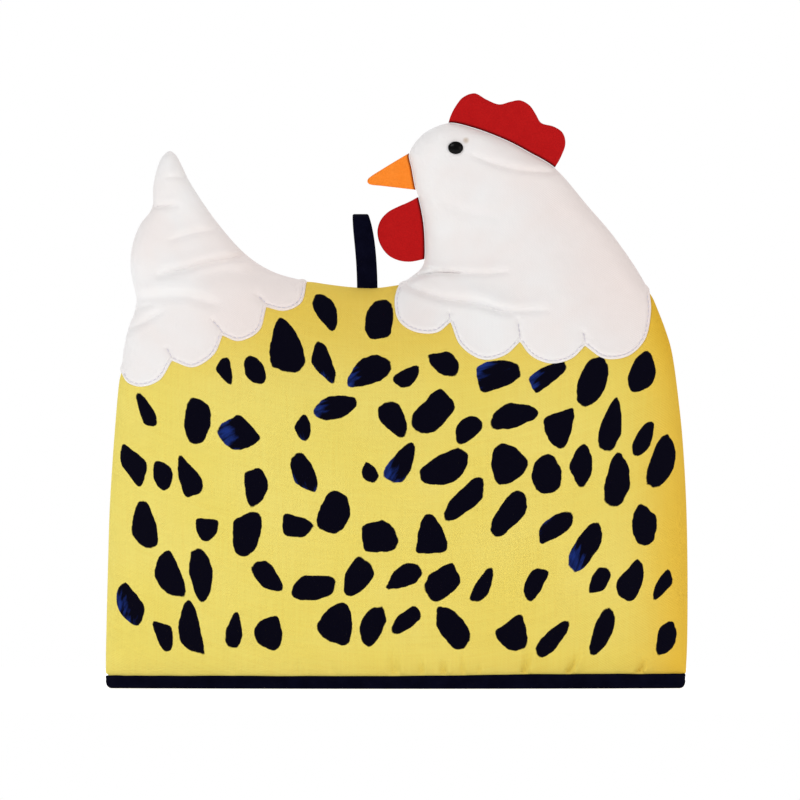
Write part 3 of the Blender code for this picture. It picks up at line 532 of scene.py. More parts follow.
class Cover:
    """Everything that the pieces share: outline, edges, stitch lines and depths."""

    def __init__(self):
        self.outline = Outline()
        self.membrane = Membrane(self.outline)
        seam, marks = self.outline.seam, self.outline.marks
        self.scallops = {
            run: scallop_rows(rows, seam[marks[run][0]], seam[marks[run][-1]])
            for run, rows in ((TAIL_RUN, TAIL_SCALLOPS), (NECK_RUN, NECK_SCALLOPS))}
        self.darts = {run: [smooth_curve(line, 0.8)[0] for line in lines]
                      for run, lines in ((TAIL_RUN, TAIL_DARTS), (NECK_RUN, NECK_DARTS))}
        self.creases = [(depth, half_width, smooth_curve(line, 2.0)[0])
                        for depth, half_width, line in TAIL_CREASES + NECK_CREASES]
        self._cloth_map()

    def edge(self, run):
        """A white shape's whole scalloped edge as one line."""
        rows = self.scallops[run]
        return np.vstack([rows[0], *(row[1:] for row in rows[1:])])

    def stitch_lines(self, run, inset):
        """Lines of edge stitching: each scallop moved in, then the darts."""
        edge = self.edge(run)
        lines = []
        for row in self.scallops[run]:
            moved = row + left_normals(row) * inset
            kept = distance_to_line(moved, edge) > 0.95 * inset
            kept &= distance_to_line(moved, self.outline.seam) > 1.5
            lines.append(even_steps(moved[kept], 0.6))
        return lines + self.darts[run]

    def smooth_depth(self, points):
        """Half depth of the padded body without creases: sheet plus pillowed edge.

        At a distance d from the seam the pillow rises by a quarter ellipse,
        height * sqrt(1 - (1 - d / width)^2).
        """
        inward = np.clip(distance_to_line(points, self.outline.seam) / PILLOW_WIDTH, 0, 1)
        rise = PILLOW_HEIGHT * np.sqrt(1 - (1 - inward) ** 2)
        free = smooth_step(points[:, 1], BAND_TOP_Z, SQUEEZE_END_Z)
        share = HEM_SQUEEZE + (1 - HEM_SQUEEZE) * free
        return self.membrane.depth(points) + rise * share

    def lining_depth(self, points):
        """Half depth of the hollow; the panels touch where there is none."""
        z = points[:, 1]
        wall = HEM_WALL + (PANEL_WALL - HEM_WALL) * smooth_step(z, BAND_TOP_Z, SQUEEZE_END_Z)
        wall += (FILLED_WALL - PANEL_WALL) * smooth_step(z, FILL_FROM_Z, FILL_TO_Z)
        return np.maximum(self.smooth_depth(points) - wall, FIT_GAP / 2)

    def _cloth_map(self):
        """Lengths over the padded surface, across and up, on a grid of the plan."""
        flat = plan_grid()
        rows, columns = len(PLAN_Z), len(PLAN_X)
        depth = np.where(inside_polygon(flat, self.outline.polygon),
                         self.smooth_depth(flat), 0).reshape(rows, columns)
        across = np.cumsum(np.hypot(PLAN_STEP, np.diff(depth, axis=1, prepend=0)), axis=1)
        up = np.cumsum(np.hypot(PLAN_STEP, np.diff(depth, axis=0, prepend=depth[:1])), axis=0)
        self.map = np.stack([across - across[:, columns // 2, None], up - PLAN_STEP], axis=-1)

    def cloth_place(self, points):
        """Where each point lies on the flat cloth: millimetres across and up."""
        return read_plan(self.map, points)


@functools.lru_cache(maxsize=1)
def cover():
    """The one shared form, worked out when the first piece asks for it."""
    return Cover()


# ---------------------------------------------------------------- relief
def trough(distance, depth, half_width):
    """A soft valley with low shoulders: a bell less a wider bell."""
    bell = np.exp(-(distance / half_width) ** 2)
    shoulder = np.exp(-(distance / (2.1 * half_width)) ** 2)
    return -depth * (1.25 * bell - 0.25 * shoulder)


def open_ends(points, line, reach=0.18):
    """1 along a line and easing to 0 past its ends, by the share along its chord."""
    chord = line[-1] - line[0]
    along = (points - line[0]) @ chord / (chord @ chord)
    return smooth_step(along, -reach, reach) * (1 - smooth_step(along, 1 - reach, 1 + reach))


def ripples(points, seed, count, shortest, longest):
    """A sum of plane waves in random directions, about 1 at its highest."""
    rng = np.random.default_rng(seed)
    heading = rng.uniform(0, math.pi, count)
    wave = 2 * math.pi / rng.uniform(shortest, longest, count)
    start = rng.uniform(0, 2 * math.pi, count)
    phase = points @ (wave * np.stack([np.cos(heading), np.sin(heading)])) + start
    return np.sin(phase).sum(1) / math.sqrt(2.0 * count)


def along_hem(x, seed):
    """Uneven upright puckers along the hem: narrow waves that come and go."""
    rng = np.random.default_rng(seed)
    total = np.zeros(len(x))
    for length in (9.5, 13.0, 19.0, 31.0):
        start, swell_start = rng.uniform(0, 2 * math.pi, 2)
        swell = 0.5 + 0.5 * np.sin(2 * math.pi * x / (5.3 * length) + swell_start)
        total += swell * np.sin(2 * math.pi * x / length + start)
    return total / 2.2


def hem_puckers(points, side):
    """Valleys that climb from the binding, each with a lower ridge on its right.

    At a distance a, in half widths, from a pucker's leaning middle its height is
    0.5 e^(-(a - 1.8)^2) - e^(-a^2), and it fades as (1 - s^2)^1.5 with s the share of
    its height climbed. The back has the same ones the other way round.
    """
    total = np.zeros(len(points))
    climb = points[:, 1] - BAND_TOP_Z
    for foot, lean, tall, deep, half_width in HEM_PUCKERS:
        share = np.clip(climb / tall, 0, 1)
        away = (-side * points[:, 0] - foot - lean * share) / half_width
        shape = 0.5 * np.exp(-(away - 1.8) ** 2) - np.exp(-away ** 2)
        total += deep * shape * (1 - share ** 2) ** 1.5
    return total * smooth_step(climb, -0.8, 1.2)


def relief(points, side, sizes):
    """Small unevenness of the padding and cloth, out from the smooth body."""
    form = cover()
    seed = 11 if side == FRONT else 23
    from_seam = distance_to_line(points, form.outline.seam)
    up = points[:, 1]
    free = smooth_step(up, BAND_TOP_Z + 0.5, BAND_TOP_Z + 7)
    inside = smooth_step(from_seam, 1.0, 8.0)

    wadding = ripples(points, seed, 14, 34.0, 90.0) * mm(sizes.wadding_unevenness)
    fine = ripples(points, seed + 1, 12, 11.0, 24.0) * 0.16 * mm(sizes.wadding_unevenness)
    height = (wadding + fine) * inside * free

    stronger = 0.45 + 0.55 * smooth_step(points[:, 0], -40.0, 90.0)
    hem_fade = np.exp(-np.clip(up - BAND_TOP_Z - 4, 0, None) / 11.0)
    slow = 0.26 * along_hem(points[:, 0], seed) * stronger * hem_fade * free
    height += mm(sizes.hem_pucker) * (slow + hem_puckers(points, side))

    along_seam = points @ np.array([0.62, 0.78])
    tight = ripples(np.column_stack([along_seam, up]), seed + 2, 9, 7.0, 15.0)
    near_seam = smooth_step(from_seam, 0.6, 3.0) * np.exp(-np.clip(from_seam - 3, 0, None) / 7.0)
    height += tight * mm(sizes.seam_pucker) * near_seam * free

    side_share = 1.0 if side == FRONT else 0.6
    for depth, half_width, line in form.creases:
        near = near_line(points, line, CREASE_BOX)
        roll = line + left_normals(line) * 2.3 * half_width
        pressed = trough(distance_to_line(points[near], line), depth * side_share, half_width)
        beside = distance_to_line(points[near], roll) / (1.5 * half_width)
        pressed += 0.22 * depth * side_share * np.exp(-beside ** 2)
        height[near] += pressed * open_ends(points[near], line) * sizes.crease_strength
    for run in (TAIL_RUN, NECK_RUN):
        for line in form.stitch_lines(run, mm(sizes.stitch_inset)):
            near = near_line(points, line, STITCH_BOX)
            distance = distance_to_line(points[near], line)
            height[near] -= mm(sizes.stitch_pull) * np.exp(-(distance / 2.1) ** 2)
    return height


def outer_depth(points, side, sizes):
    """Half depth of a panel's outer face with all its relief."""
    smooth = cover().smooth_depth(points)
    pressed = np.maximum(relief(points, side, sizes), -0.75 * smooth)
    return np.maximum(smooth + pressed, CLOSE_GAP)


def mm(length):
    """A distance property in millimetres."""
    return length / METRES_PER_MM


# ---------------------------------------------------------------- plane meshing
def even_grid(polygon, spacing):
    """Rows of points in a triangular pattern over a polygon's box."""
    low, high = polygon.min(0), polygon.max(0)
    rows = np.arange(low[1] + spacing / 2, high[1], spacing * math.sqrt(3) / 2)
    columns = np.arange(low[0], high[0], spacing)
    x, z = np.meshgrid(columns, rows)
    x[1::2] += spacing / 2
    return np.column_stack([x.ravel(), z.ravel()])


def rings_beside(line, normals, depths):
    """Copies of a line moved against its normals, without points that crowd it."""
    rings = []
    for depth in depths:
        ring = line - normals * depth
        rings.append(ring[distance_to_line(ring, line) > 0.97 * depth])
    return rings


def crease_rows(creases, spacing):
    """Rows of points beside every crease, and how far an even grid keeps off it."""
    rows, reach = [], []
    for _, _, line in creases:
        beside = left_normals(line)
        rows += [line + beside * offset for offset in CREASE_OFFSETS]
        reach.append((line, CREASE_OFFSETS[-1] + 0.6 * spacing))
    return rows, reach


def plan_mesh(border, fixed, spacing, clearances):
    """Points and triangles of a flat shape with an even grid inside it.

    fixed are rows of points that are kept; clearances lists (line, distance) pairs
    that the grid keeps away from. Border points come first, in their order.
    """
    rows = np.vstack(fixed)
    rows = rows[inside_polygon(rows, border)]
    closed = np.vstack([border, border[:1]])
    rows = rows[distance_to_line(rows, closed) > 0.08]
    _, first = np.unique(np.round(rows / 0.3), axis=0, return_index=True)
    rows = rows[np.sort(first)]
    grid = even_grid(border, spacing)
    grid = grid[inside_polygon(grid, border)]
    grid = grid[distance_to_line(grid, closed) > 0.6 * spacing]
    for line, clearance in clearances:
        grid = grid[distance_to_line(grid, line) > clearance]
    points = np.vstack([border, rows, grid])
    count = len(border)
    links = np.column_stack([np.arange(count), np.roll(np.arange(count), -1)])
    result = delaunay_2d_cdt(points.tolist(), links.tolist(), [list(range(count))], 1, 1e-6)
    sources = np.array([source[0] for source in result[3]])
    triangles = sources[np.array(result[2])]
    a, b, c = (points[triangles[:, k]] for k in range(3))
    turn = (b - a)[:, 0] * (c - a)[:, 1] - (b - a)[:, 1] * (c - a)[:, 0]
    triangles[turn < 0] = triangles[turn < 0][:, ::-1]
    return points, triangles


def corner_normals(points, triangles):
    """Area-weighted unit normal at each point of a triangle surface."""
    a, b, c = (points[triangles[:, k]] for k in range(3))
    face = np.cross(b - a, c - a)
    total = np.zeros_like(points)
    for k in range(3):
        np.add.at(total, triangles[:, k], face)
    length = np.linalg.norm(total, axis=1)[:, None]
    return total / np.where(length == 0, 1, length)


def grid_faces(rows, columns, wrap_rows=False, wrap_columns=False):
    """Quads of a grid numbered row by row; a wrapped side closes on itself."""
    i = np.arange(rows if wrap_rows else rows - 1)[:, None]
    j = np.arange(columns if wrap_columns else columns - 1)[None]
    up, right = (i + 1) % rows, (j + 1) % columns
    quads = [i * columns + j, i * columns + right, up * columns + right, up * columns + j]
    return np.stack(np.broadcast_arrays(*quads), axis=-1).reshape(-1, 4)


def closing_strip(first, second):
    """Faces between two rows that share both ends: quads, and a triangle at each end."""
    quads = np.column_stack([first[:-1], first[1:], second[1:], second[:-1]])
    return quads[1:-1], np.array([quads[0, :3], quads[-1, [0, 1, 3]]])


def fans(points, blocks):
    """Corners a, b and c of all triangles that the faces are cut into, set by set."""
    for block in blocks:
        a = points[block[:, 0]]
        for k in range(1, block.shape[1] - 1):
            yield a, points[block[:, k]], points[block[:, k + 1]]


def faces_out(points, blocks):
    """The same faces, all turned round if the closed shape is inside out."""
    volume = sum((a * np.cross(b, c)).sum() for a, b, c in fans(points, blocks))
    return blocks if volume > 0 else [block[:, ::-1] for block in blocks]


def mesh_area(points, blocks):
    """Area of some faces, in square metres."""
    total = sum(np.linalg.norm(np.cross(b - a, c - a), axis=1).sum() / 2
                for a, b, c in fans(points, blocks))
    return total * METRES_PER_MM ** 2


# ---------------------------------------------------------------- materials
ATTRIBUTE, MIX, MATH = "ShaderNodeAttribute", "ShaderNodeMix", "ShaderNodeMath"
NOISE, RANGE, BUMP = "ShaderNodeTexNoise", "ShaderNodeMapRange", "ShaderNodeBump"
VECTOR, SPLIT, TURN = "ShaderNodeVectorMath", "ShaderNodeSeparateXYZ", "ShaderNodeMapping"
PLACE = "ShaderNodeTexCoord"
IN_COLOUR = {"output": 2, "data_type": "RGBA"}
CLOTH_PLACE = {"output": "Vector", "attribute_name": "cloth"}
YARN_ACROSS, YARN_ALONG = 0.9, 0.03   # noise for each mm across and along a yarn
BRISTLES_ALONG, BRISTLES_ACROSS = 0.09, 0.34   # the same for a brush's bristles
THREAD_TWIST = 0.7           # length of one turn of the stitching thread
MARK_ASIDE = (6.2, 4.6)      # from the eye to the beige mark


def add_node(tree, kind, inputs=None, output=0, **settings):
    """Add one node and give one of its outputs; an input is a value or another output."""
    made = tree.nodes.new(kind)
    for name, value in settings.items():
        setattr(made, name, value)
    for name, value in (inputs or {}).items():
        if isinstance(value, bpy.types.NodeSocket):
            tree.links.new(value, made.inputs[name])
        else:
            made.inputs[name].default_value = value
    return made.outputs[output]


def plain_weave(tree, cloth, spacing):
    """Height of a plain weave: the product of one sine across and one up."""
    turns = 2 * math.pi / spacing
    spread = add_node(tree, VECTOR, {0: cloth, 1: (turns, turns, 0)}, operation="MULTIPLY")
    wave = add_node(tree, VECTOR, {0: spread}, operation="SINE")
    across, up = [add_node(tree, SPLIT, {0: wave}, axis) for axis in (0, 1)]
    return add_node(tree, MATH, {0: across, 1: up}, operation="MULTIPLY")


def uneven_threads(tree, cloth):
    """Thick and thin yarns: noise drawn out along the warp plus noise along the weft."""
    yarns = []
    for stretch in ((YARN_ACROSS, YARN_ALONG, 1), (YARN_ALONG, YARN_ACROSS, 1)):
        drawn = add_node(tree, VECTOR, {0: cloth, 1: stretch}, operation="MULTIPLY")
        yarns.append(add_node(tree, NOISE, {"Vector": drawn, "Scale": 1.0, "Detail": 1.0}))
    both = add_node(tree, MATH, {0: yarns[0], 1: yarns[1]}, operation="ADD")
    return add_node(tree, RANGE, {"Value": both, "From Min": 0.75, "From Max": 1.25})


def patches(tree, place, width, low, high, most, detail=2.0):
    """Soft patches of some width: noise, read as 0 at low and as most at high."""
    cloudy = add_node(tree, NOISE, {"Vector": place, "Scale": 1 / width, "Detail": detail})
    return add_node(tree, RANGE, {"Value": cloudy, "From Min": low, "From Max": high,
                                  "To Max": most})


def dress(tree, shader, colour, height, relief_depth):
    """Give a shader its colour and a surface raised by height times some millimetres."""
    tree.links.new(colour, shader.inputs["Base Color"])
    bump = add_node(tree, BUMP, {"Height": height, "Distance": metres(relief_depth)})
    tree.links.new(bump, shader.inputs["Normal"])


def new_material(name, **values):
    """A Principled material with the values set on the shader's own sockets."""
    made = bpy.data.materials.new(name)
    made.use_nodes = True
    tree = made.node_tree
    shader = tree.nodes["Principled BSDF"]
    for key, value in values.items():
        shader.inputs[key.replace("_", " ").title().replace("Ior", "IOR")].default_value = value
    return made, tree, shader


def made_once(make):
    """Let a material function make its material once and give it again later."""
    @functools.lru_cache(maxsize=None)
    def ask():
        scene = bpy.context.scene
        return make(scene.cosy_sizes, scene.cosy_colours)
    return ask


@made_once
def printed_cotton(sizes, colours):
    """Quilting cotton, plain woven, yellow from its dye and block printed with dark dabs.

    Matt with a little fibre sheen. The ink soaks in, so it has no gloss of its own and its edge is
    ragged at the scale of the threads; some dabs were printed with a half-dry brush, and blue
    shows through them in streaks. Painted shade turns the yellow golden towards the head's flank,
    under the white cloth and near the hem.
    """
    made, tree, shader = new_material("printed_quilting_cotton", roughness=0.9,
                                      sheen_weight=0.02, sheen_roughness=0.5,
                                      specular_ior_level=0.04)
    cloth = add_node(tree, ATTRIBUTE, **CLOTH_PLACE)
    threads = uneven_threads(tree, cloth)
    cloudy = patches(tree, cloth, DYE_CLOUD, low=0.35, high=0.65, most=0.35)
    dye_and_shade = add_node(tree, MIX, {0: cloudy, 6: colours.yellow, 7: colours.pale_yellow}, **IN_COLOUR)
    thread_tone = add_node(tree, MATH, {0: threads, 1: 0.12}, operation="MULTIPLY")
    dye_and_shade = add_node(tree, MIX, {0: thread_tone, 6: dye_and_shade, 7: colours.golden_and_shade}, **IN_COLOUR)
    # Painted shade: this attribute turns the yellow golden at the head's flank, under the white
    # cloth and near the hem.
    painted_shade = add_node(tree, ATTRIBUTE, output="Fac", attribute_name="painted_shade")
    dye_and_shade = add_node(tree, MIX, {0: painted_shade, 6: dye_and_shade, 7: colours.golden_and_shade}, **IN_COLOUR)

    # A dab's edge wanders by a millimetre or so, and frays where it meets the threads.
    edge = add_node(tree, ATTRIBUTE, output="Fac", attribute_name="dab_edge")
    frayed = add_node(tree, NOISE, {"Vector": cloth, "Scale": 1 / 1.6, "Detail": 3.0})
    edge = add_node(tree, MATH, {0: frayed, 1: EDGE_FRAY, 2: edge}, operation="MULTIPLY_ADD")
    wavy = add_node(tree, NOISE, {"Vector": cloth, "Scale": 1 / 7.0, "Detail": 1.0})
    edge = add_node(tree, MATH, {0: wavy, 1: EDGE_WANDER, 2: edge}, operation="MULTIPLY_ADD")
    middle = (EDGE_FRAY + EDGE_WANDER) / 2
    printed = add_node(tree, RANGE, {"Value": edge, "From Min": middle - EDGE_SOFTNESS,
                                     "From Max": middle + EDGE_SOFTNESS,
                                     "To Min": 1.0, "To Max": 0.0})

    # The brush runs dry towards one end of some dabs, and there the blue shows.
    dab = add_node(tree, ATTRIBUTE, output="Vector", attribute_name="dab")
    along, across, kind = [add_node(tree, SPLIT, {0: dab}, axis) for axis in (0, 1, 2)]
    lower = add_node(tree, MATH, {0: across, 1: 0.8, 2: along}, operation="MULTIPLY_ADD")
    bristles = add_node(tree, VECTOR, {0: dab, 1: (BRISTLES_ALONG, BRISTLES_ACROSS, 1)},
                        operation="MULTIPLY")
    bristles = add_node(tree, NOISE, {"Vector": bristles, "Scale": 1.0, "Detail": 4.0})
    wet = add_node(tree, RANGE, {"Value": lower, "From Min": 1.0, "From Max": -12.0,
                                 "To Min": 0.70, "To Max": 0.36})
    bared = add_node(tree, MATH, {0: bristles, 1: wet}, operation="SUBTRACT")
    bared = add_node(tree, RANGE, {"Value": bared, "From Max": 0.24, "To Max": 0.85})
    dry = add_node(tree, RANGE, {"Value": kind, "From Min": DRY_KIND, "From Max": DRY_KIND + 0.5})
    streaks = add_node(tree, MATH, {0: bared, 1: dry}, operation="MULTIPLY")
    ink = add_node(tree, MIX, {0: streaks, 6: colours.ink, 7: colours.ink_blue}, **IN_COLOUR)
    cover_colour = add_node(tree, MIX, {0: printed, 6: dye_and_shade, 7: ink}, **IN_COLOUR)

    weave = plain_weave(tree, cloth, mm(sizes.weave_spacing))
    thickness = add_node(tree, MATH, {0: threads, 1: 0.5}, operation="ADD")
    height = add_node(tree, MATH, {0: weave, 1: thickness}, operation="MULTIPLY")
    dress(tree, shader, cover_colour, height, relief_depth=0.05)
    return made


@made_once
def white_cotton(sizes, colours):
    """White cotton sheeting, plain woven and pressed: matt, close and a little warm."""
    made, tree, shader = new_material("pressed_white_cotton", roughness=0.85,
                                      sheen_weight=0.05, sheen_roughness=0.5,
                                      specular_ior_level=0.1)
    cloth = add_node(tree, ATTRIBUTE, **CLOTH_PLACE)
    cloudy = patches(tree, cloth, width=35.0, low=0.3, high=0.7, most=0.5)
    white = add_node(tree, MIX, {0: cloudy, 6: colours.white, 7: colours.rosy_white_and_shade}, **IN_COLOUR)
    # Painted shade: this attribute warms and darkens the white towards the neck's outer side and
    # the tail's saddle side.
    painted_shade = add_node(tree, ATTRIBUTE, output="Fac", attribute_name="painted_shade")
    white = add_node(tree, MIX, {0: painted_shade, 6: white, 7: colours.rosy_white_and_shade}, **IN_COLOUR)
    # A faint beige mark beside the front eye, a soft spot some 3 mm across.
    place = add_node(tree, PLACE, output="Object")
    x, z = EYE_X + MARK_ASIDE[0], EYE_Z + MARK_ASIDE[1]
    depth = outer_depth(np.array([[x, z]]), FRONT, sizes)[0] + mm(sizes.cloth_thickness)
    spot = (metres(x), FRONT * metres(depth), metres(z))
    away = add_node(tree, VECTOR, {0: place, 1: spot}, output="Value", operation="DISTANCE")
    mark = add_node(tree, RANGE, {"Value": away, "From Min": metres(0.6), "From Max": metres(2.4),
                                  "To Min": 0.7, "To Max": 0.0})
    white = add_node(tree, MIX, {0: mark, 6: white, 7: colours.mark}, **IN_COLOUR)
    # Sheeting is a little finer than the printed cotton.
    weave = plain_weave(tree, cloth, mm(sizes.weave_spacing) * 0.85)
    dress(tree, shader, white, weave, relief_depth=0.03)
    return made


@made_once
def plain_lining(sizes, colours):
    """Undyed cotton inside the cover: plain, matt and creamy."""
    made, tree, shader = new_material("undyed_cotton", roughness=0.9, specular_ior_level=0.2)
    cloth = add_node(tree, ATTRIBUTE, **CLOTH_PLACE)
    cloudy = patches(tree, cloth, width=20.0, low=0.3, high=0.7, most=0.4)
    undyed = add_node(tree, MIX, {0: cloudy, 6: colours.undyed, 7: colours.white}, **IN_COLOUR)
    weave = plain_weave(tree, cloth, mm(sizes.weave_spacing))
    dress(tree, shader, undyed, weave, relief_depth=0.07)
    return made


def wool_felt(name, plain, light, deep):
    """Dense wool felt, die cut: no weave, a short tangled nap that scatters light.

    Next to its seat in the seam it is darkened by painted shade, for the shadow where it dives
    behind the head's padding.
    """
    made, tree, shader = new_material(name, roughness=0.95, sheen_weight=0.12,
                                      sheen_roughness=0.6, sheen_tint=plain,
                                      specular_ior_level=0.03)
    place = add_node(tree, PLACE, output="Object")
    mottled = add_node(tree, NOISE, {"Vector": place, "Scale": 1 / metres(7.0), "Detail": 3.0})
    tangle = add_node(tree, NOISE, {"Vector": place, "Scale": 1 / metres(0.9), "Detail": 6.0})
    stretch = tuple(metres(1.4) ** -1 * share for share in (0.35, 1.0, 1.6))
    fibres = add_node(tree, VECTOR, {0: place, 1: stretch}, operation="MULTIPLY")
    fibres = add_node(tree, NOISE, {"Vector": fibres, "Scale": 1.0, "Detail": 4.0})
    shade = add_node(tree, MATH, {0: tangle, 1: mottled}, operation="ADD")
    shade = add_node(tree, RANGE, {"Value": shade, "From Min": 0.72, "From Max": 1.28,
                                   "To Max": 0.5})
    felted = add_node(tree, MIX, {0: shade, 6: plain, 7: light}, **IN_COLOUR)
    # Painted shade: next to its seat the felt is darkened towards its shadow colour.
    pressed = add_node(tree, ATTRIBUTE, output="Fac", attribute_name="pressed")
    felted = add_node(tree, MIX, {0: pressed, 6: felted, 7: deep}, **IN_COLOUR)
    nap = add_node(tree, MATH, {0: tangle, 1: fibres}, operation="ADD")
    dress(tree, shader, felted, nap, relief_depth=0.22)
    return made


@made_once
def red_felt(sizes, colours):
    """Poppy red felt of the comb and the wattle."""
    return wool_felt("red_wool_felt", colours.red, colours.light_red, colours.seam_shadow_red)


@made_once
def orange_felt(sizes, colours):
    """Orange felt of the beak."""
    return wool_felt("orange_wool_felt", colours.orange, colours.light_orange,
                     colours.seam_shadow_orange)


@made_once
def navy_tape(sizes, colours):
    """Cotton bias tape, plain woven and cut at 45 degrees, so its threads run slantwise."""
    made, tree, shader = new_material("navy_bias_tape", roughness=0.8,
                                      specular_ior_level=0.02)
    cloth = add_node(tree, ATTRIBUTE, **CLOTH_PLACE)
    slanted = add_node(tree, TURN, {"Vector": cloth, "Rotation": (0, 0, math.radians(45))})
    worn = patches(tree, slanted, width=9.0, low=0.35, high=0.7, most=0.6, detail=3.0)
    navy = add_node(tree, MIX, {0: worn, 6: colours.navy, 7: colours.worn_navy}, **IN_COLOUR)
    dress(tree, shader, navy, plain_weave(tree, slanted, spacing=1.1), relief_depth=0.08)
    return made


@made_once
def eye_plastic(sizes, colours):
    """Moulded black plastic of a toy maker's eye, satin from its mould."""
    made, tree, shader = new_material("moulded_black_plastic", roughness=0.26, ior=1.49,
                                      specular_ior_level=0.10)
    place = add_node(tree, PLACE, output="Object")
    scuffed = patches(tree, place, width=metres(1.5), low=0.4, high=0.8, most=0.6, detail=4.0)
    black = add_node(tree, MIX, {0: scuffed, 6: colours.black, 7: colours.scuffed_black},
                     **IN_COLOUR)
    orange_peel = add_node(tree, NOISE, {"Vector": place, "Scale": 1 / metres(0.8)})
    dress(tree, shader, black, orange_peel, relief_depth=0.02)
    return made


@made_once
def stitch_thread(sizes, colours):
    """Two-ply spun polyester thread: the twist makes slanting ridges.

    The ridges follow the sine of the length along the thread and the turn round it.
    """
    made, tree, shader = new_material("spun_thread", roughness=0.6, sheen_weight=0.2)
    wound = add_node(tree, ATTRIBUTE, **CLOTH_PLACE)
    along, turn = [add_node(tree, SPLIT, {0: wound}, axis) for axis in (0, 1)]
    lead = add_node(tree, MATH, {0: along, 1: 2 * math.pi / THREAD_TWIST, 2: turn},
                    operation="MULTIPLY_ADD")
    twist = add_node(tree, MATH, {0: lead}, operation="SINE")
    shade = add_node(tree, RANGE, {"Value": twist, "From Min": -1.0, "To Max": 0.6})
    spun = add_node(tree, MIX, {0: shade, 6: colours.thread, 7: colours.thread_light}, **IN_COLOUR)
    dress(tree, shader, spun, twist, relief_depth=0.05)
    return made


def pale_floor():
    """Matt white studio paper under the cover."""
    made, _, shader = new_material("studio_paper", roughness=1.0, specular_ior_level=0.0)
    shader.inputs["Base Color"].default_value = linear("#FBFBFB")
    shader.inputs["Emission Color"].default_value = (1, 1, 1, 1)
    shader.inputs["Emission Strength"].default_value = 0.40
    return made


# ---------------------------------------------------------------- pieces
def add_piece(name, points, blocks, finishes, nodes=(), fields=None, split=45.0):
    """One mesh object from points in millimetres, riding on the cover's one body.

    blocks are arrays of faces with one finish each, or all with the first one;
    fields are numbers or vectors kept at each point for the materials.
    """
    mesh = bpy.data.meshes.new(name)
    corners = np.round(points * METRES_PER_MM, 8)
    mesh.from_pydata(corners.tolist(), [], [face for block in blocks for face in block.tolist()])
    for finish in finishes:
        mesh.materials.append(finish)
    if len(finishes) > 1:
        index = np.concatenate([np.full(len(block), min(k, len(finishes) - 1))
                                for k, block in enumerate(blocks)])
        mesh.polygons.foreach_set("material_index", index.astype(np.int32))
    for key, values in (fields or {}).items():
        kind, store = ("FLOAT", "value") if values.ndim == 1 else ("FLOAT_VECTOR", "vector")
        layer = mesh.attributes.new(key, kind, "POINT")
        layer.data.foreach_set(store, values.astype(np.float32).ravel())
    mesh.validate(verbose=False)
    mesh.shade_smooth()
    mesh.set_sharp_from_angle(angle=math.radians(split))
    mesh.update()
    piece = bpy.data.objects.new(name, mesh)
    bpy.context.scene.collection.objects.link(piece)
    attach(piece, BODY)
    if nodes:
        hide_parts(*nodes)
    return piece


def flat_vectors(plane):
    """Two columns with a third of zeros."""
    return np.column_stack([plane, np.zeros(len(plane))])


def flat_grid(first, second):
    """The same, from two numbers that are each spread over a grid."""
    return flat_vectors(np.stack(np.broadcast_arrays(first, second), axis=-1).reshape(-1, 2))


def side_word(side):
    return "front" if side == FRONT else "back"


# ---- the print
@functools.lru_cache(maxsize=1)
def print_room():
    """How far each point of the plan is from where a dab's edge may come, and the way there.

    Dabs stay clear of the seam, the hem and the white cloths. Three numbers for each
    grid point: distance, and its slope.
    """
    form = cover()
    outline = form.outline
    hem = outline.polygon[len(outline.seam) - 1:]
    walls = [(outline.seam, SEAM_ROOM), (np.vstack([hem, outline.seam[:1]]), HEM_ROOM),
             (form.edge(TAIL_RUN), TAIL_ROOM), (form.edge(NECK_RUN), NECK_ROOM)]
    flat = plan_grid()
    room = np.min([distance_to_line(flat, line) - gap for line, gap in walls], axis=0)
    room = room.reshape(len(PLAN_Z), len(PLAN_X))
    slope_z, slope_x = np.gradient(room, PLAN_STEP)
    return np.stack([room, slope_x, slope_z], axis=-1)


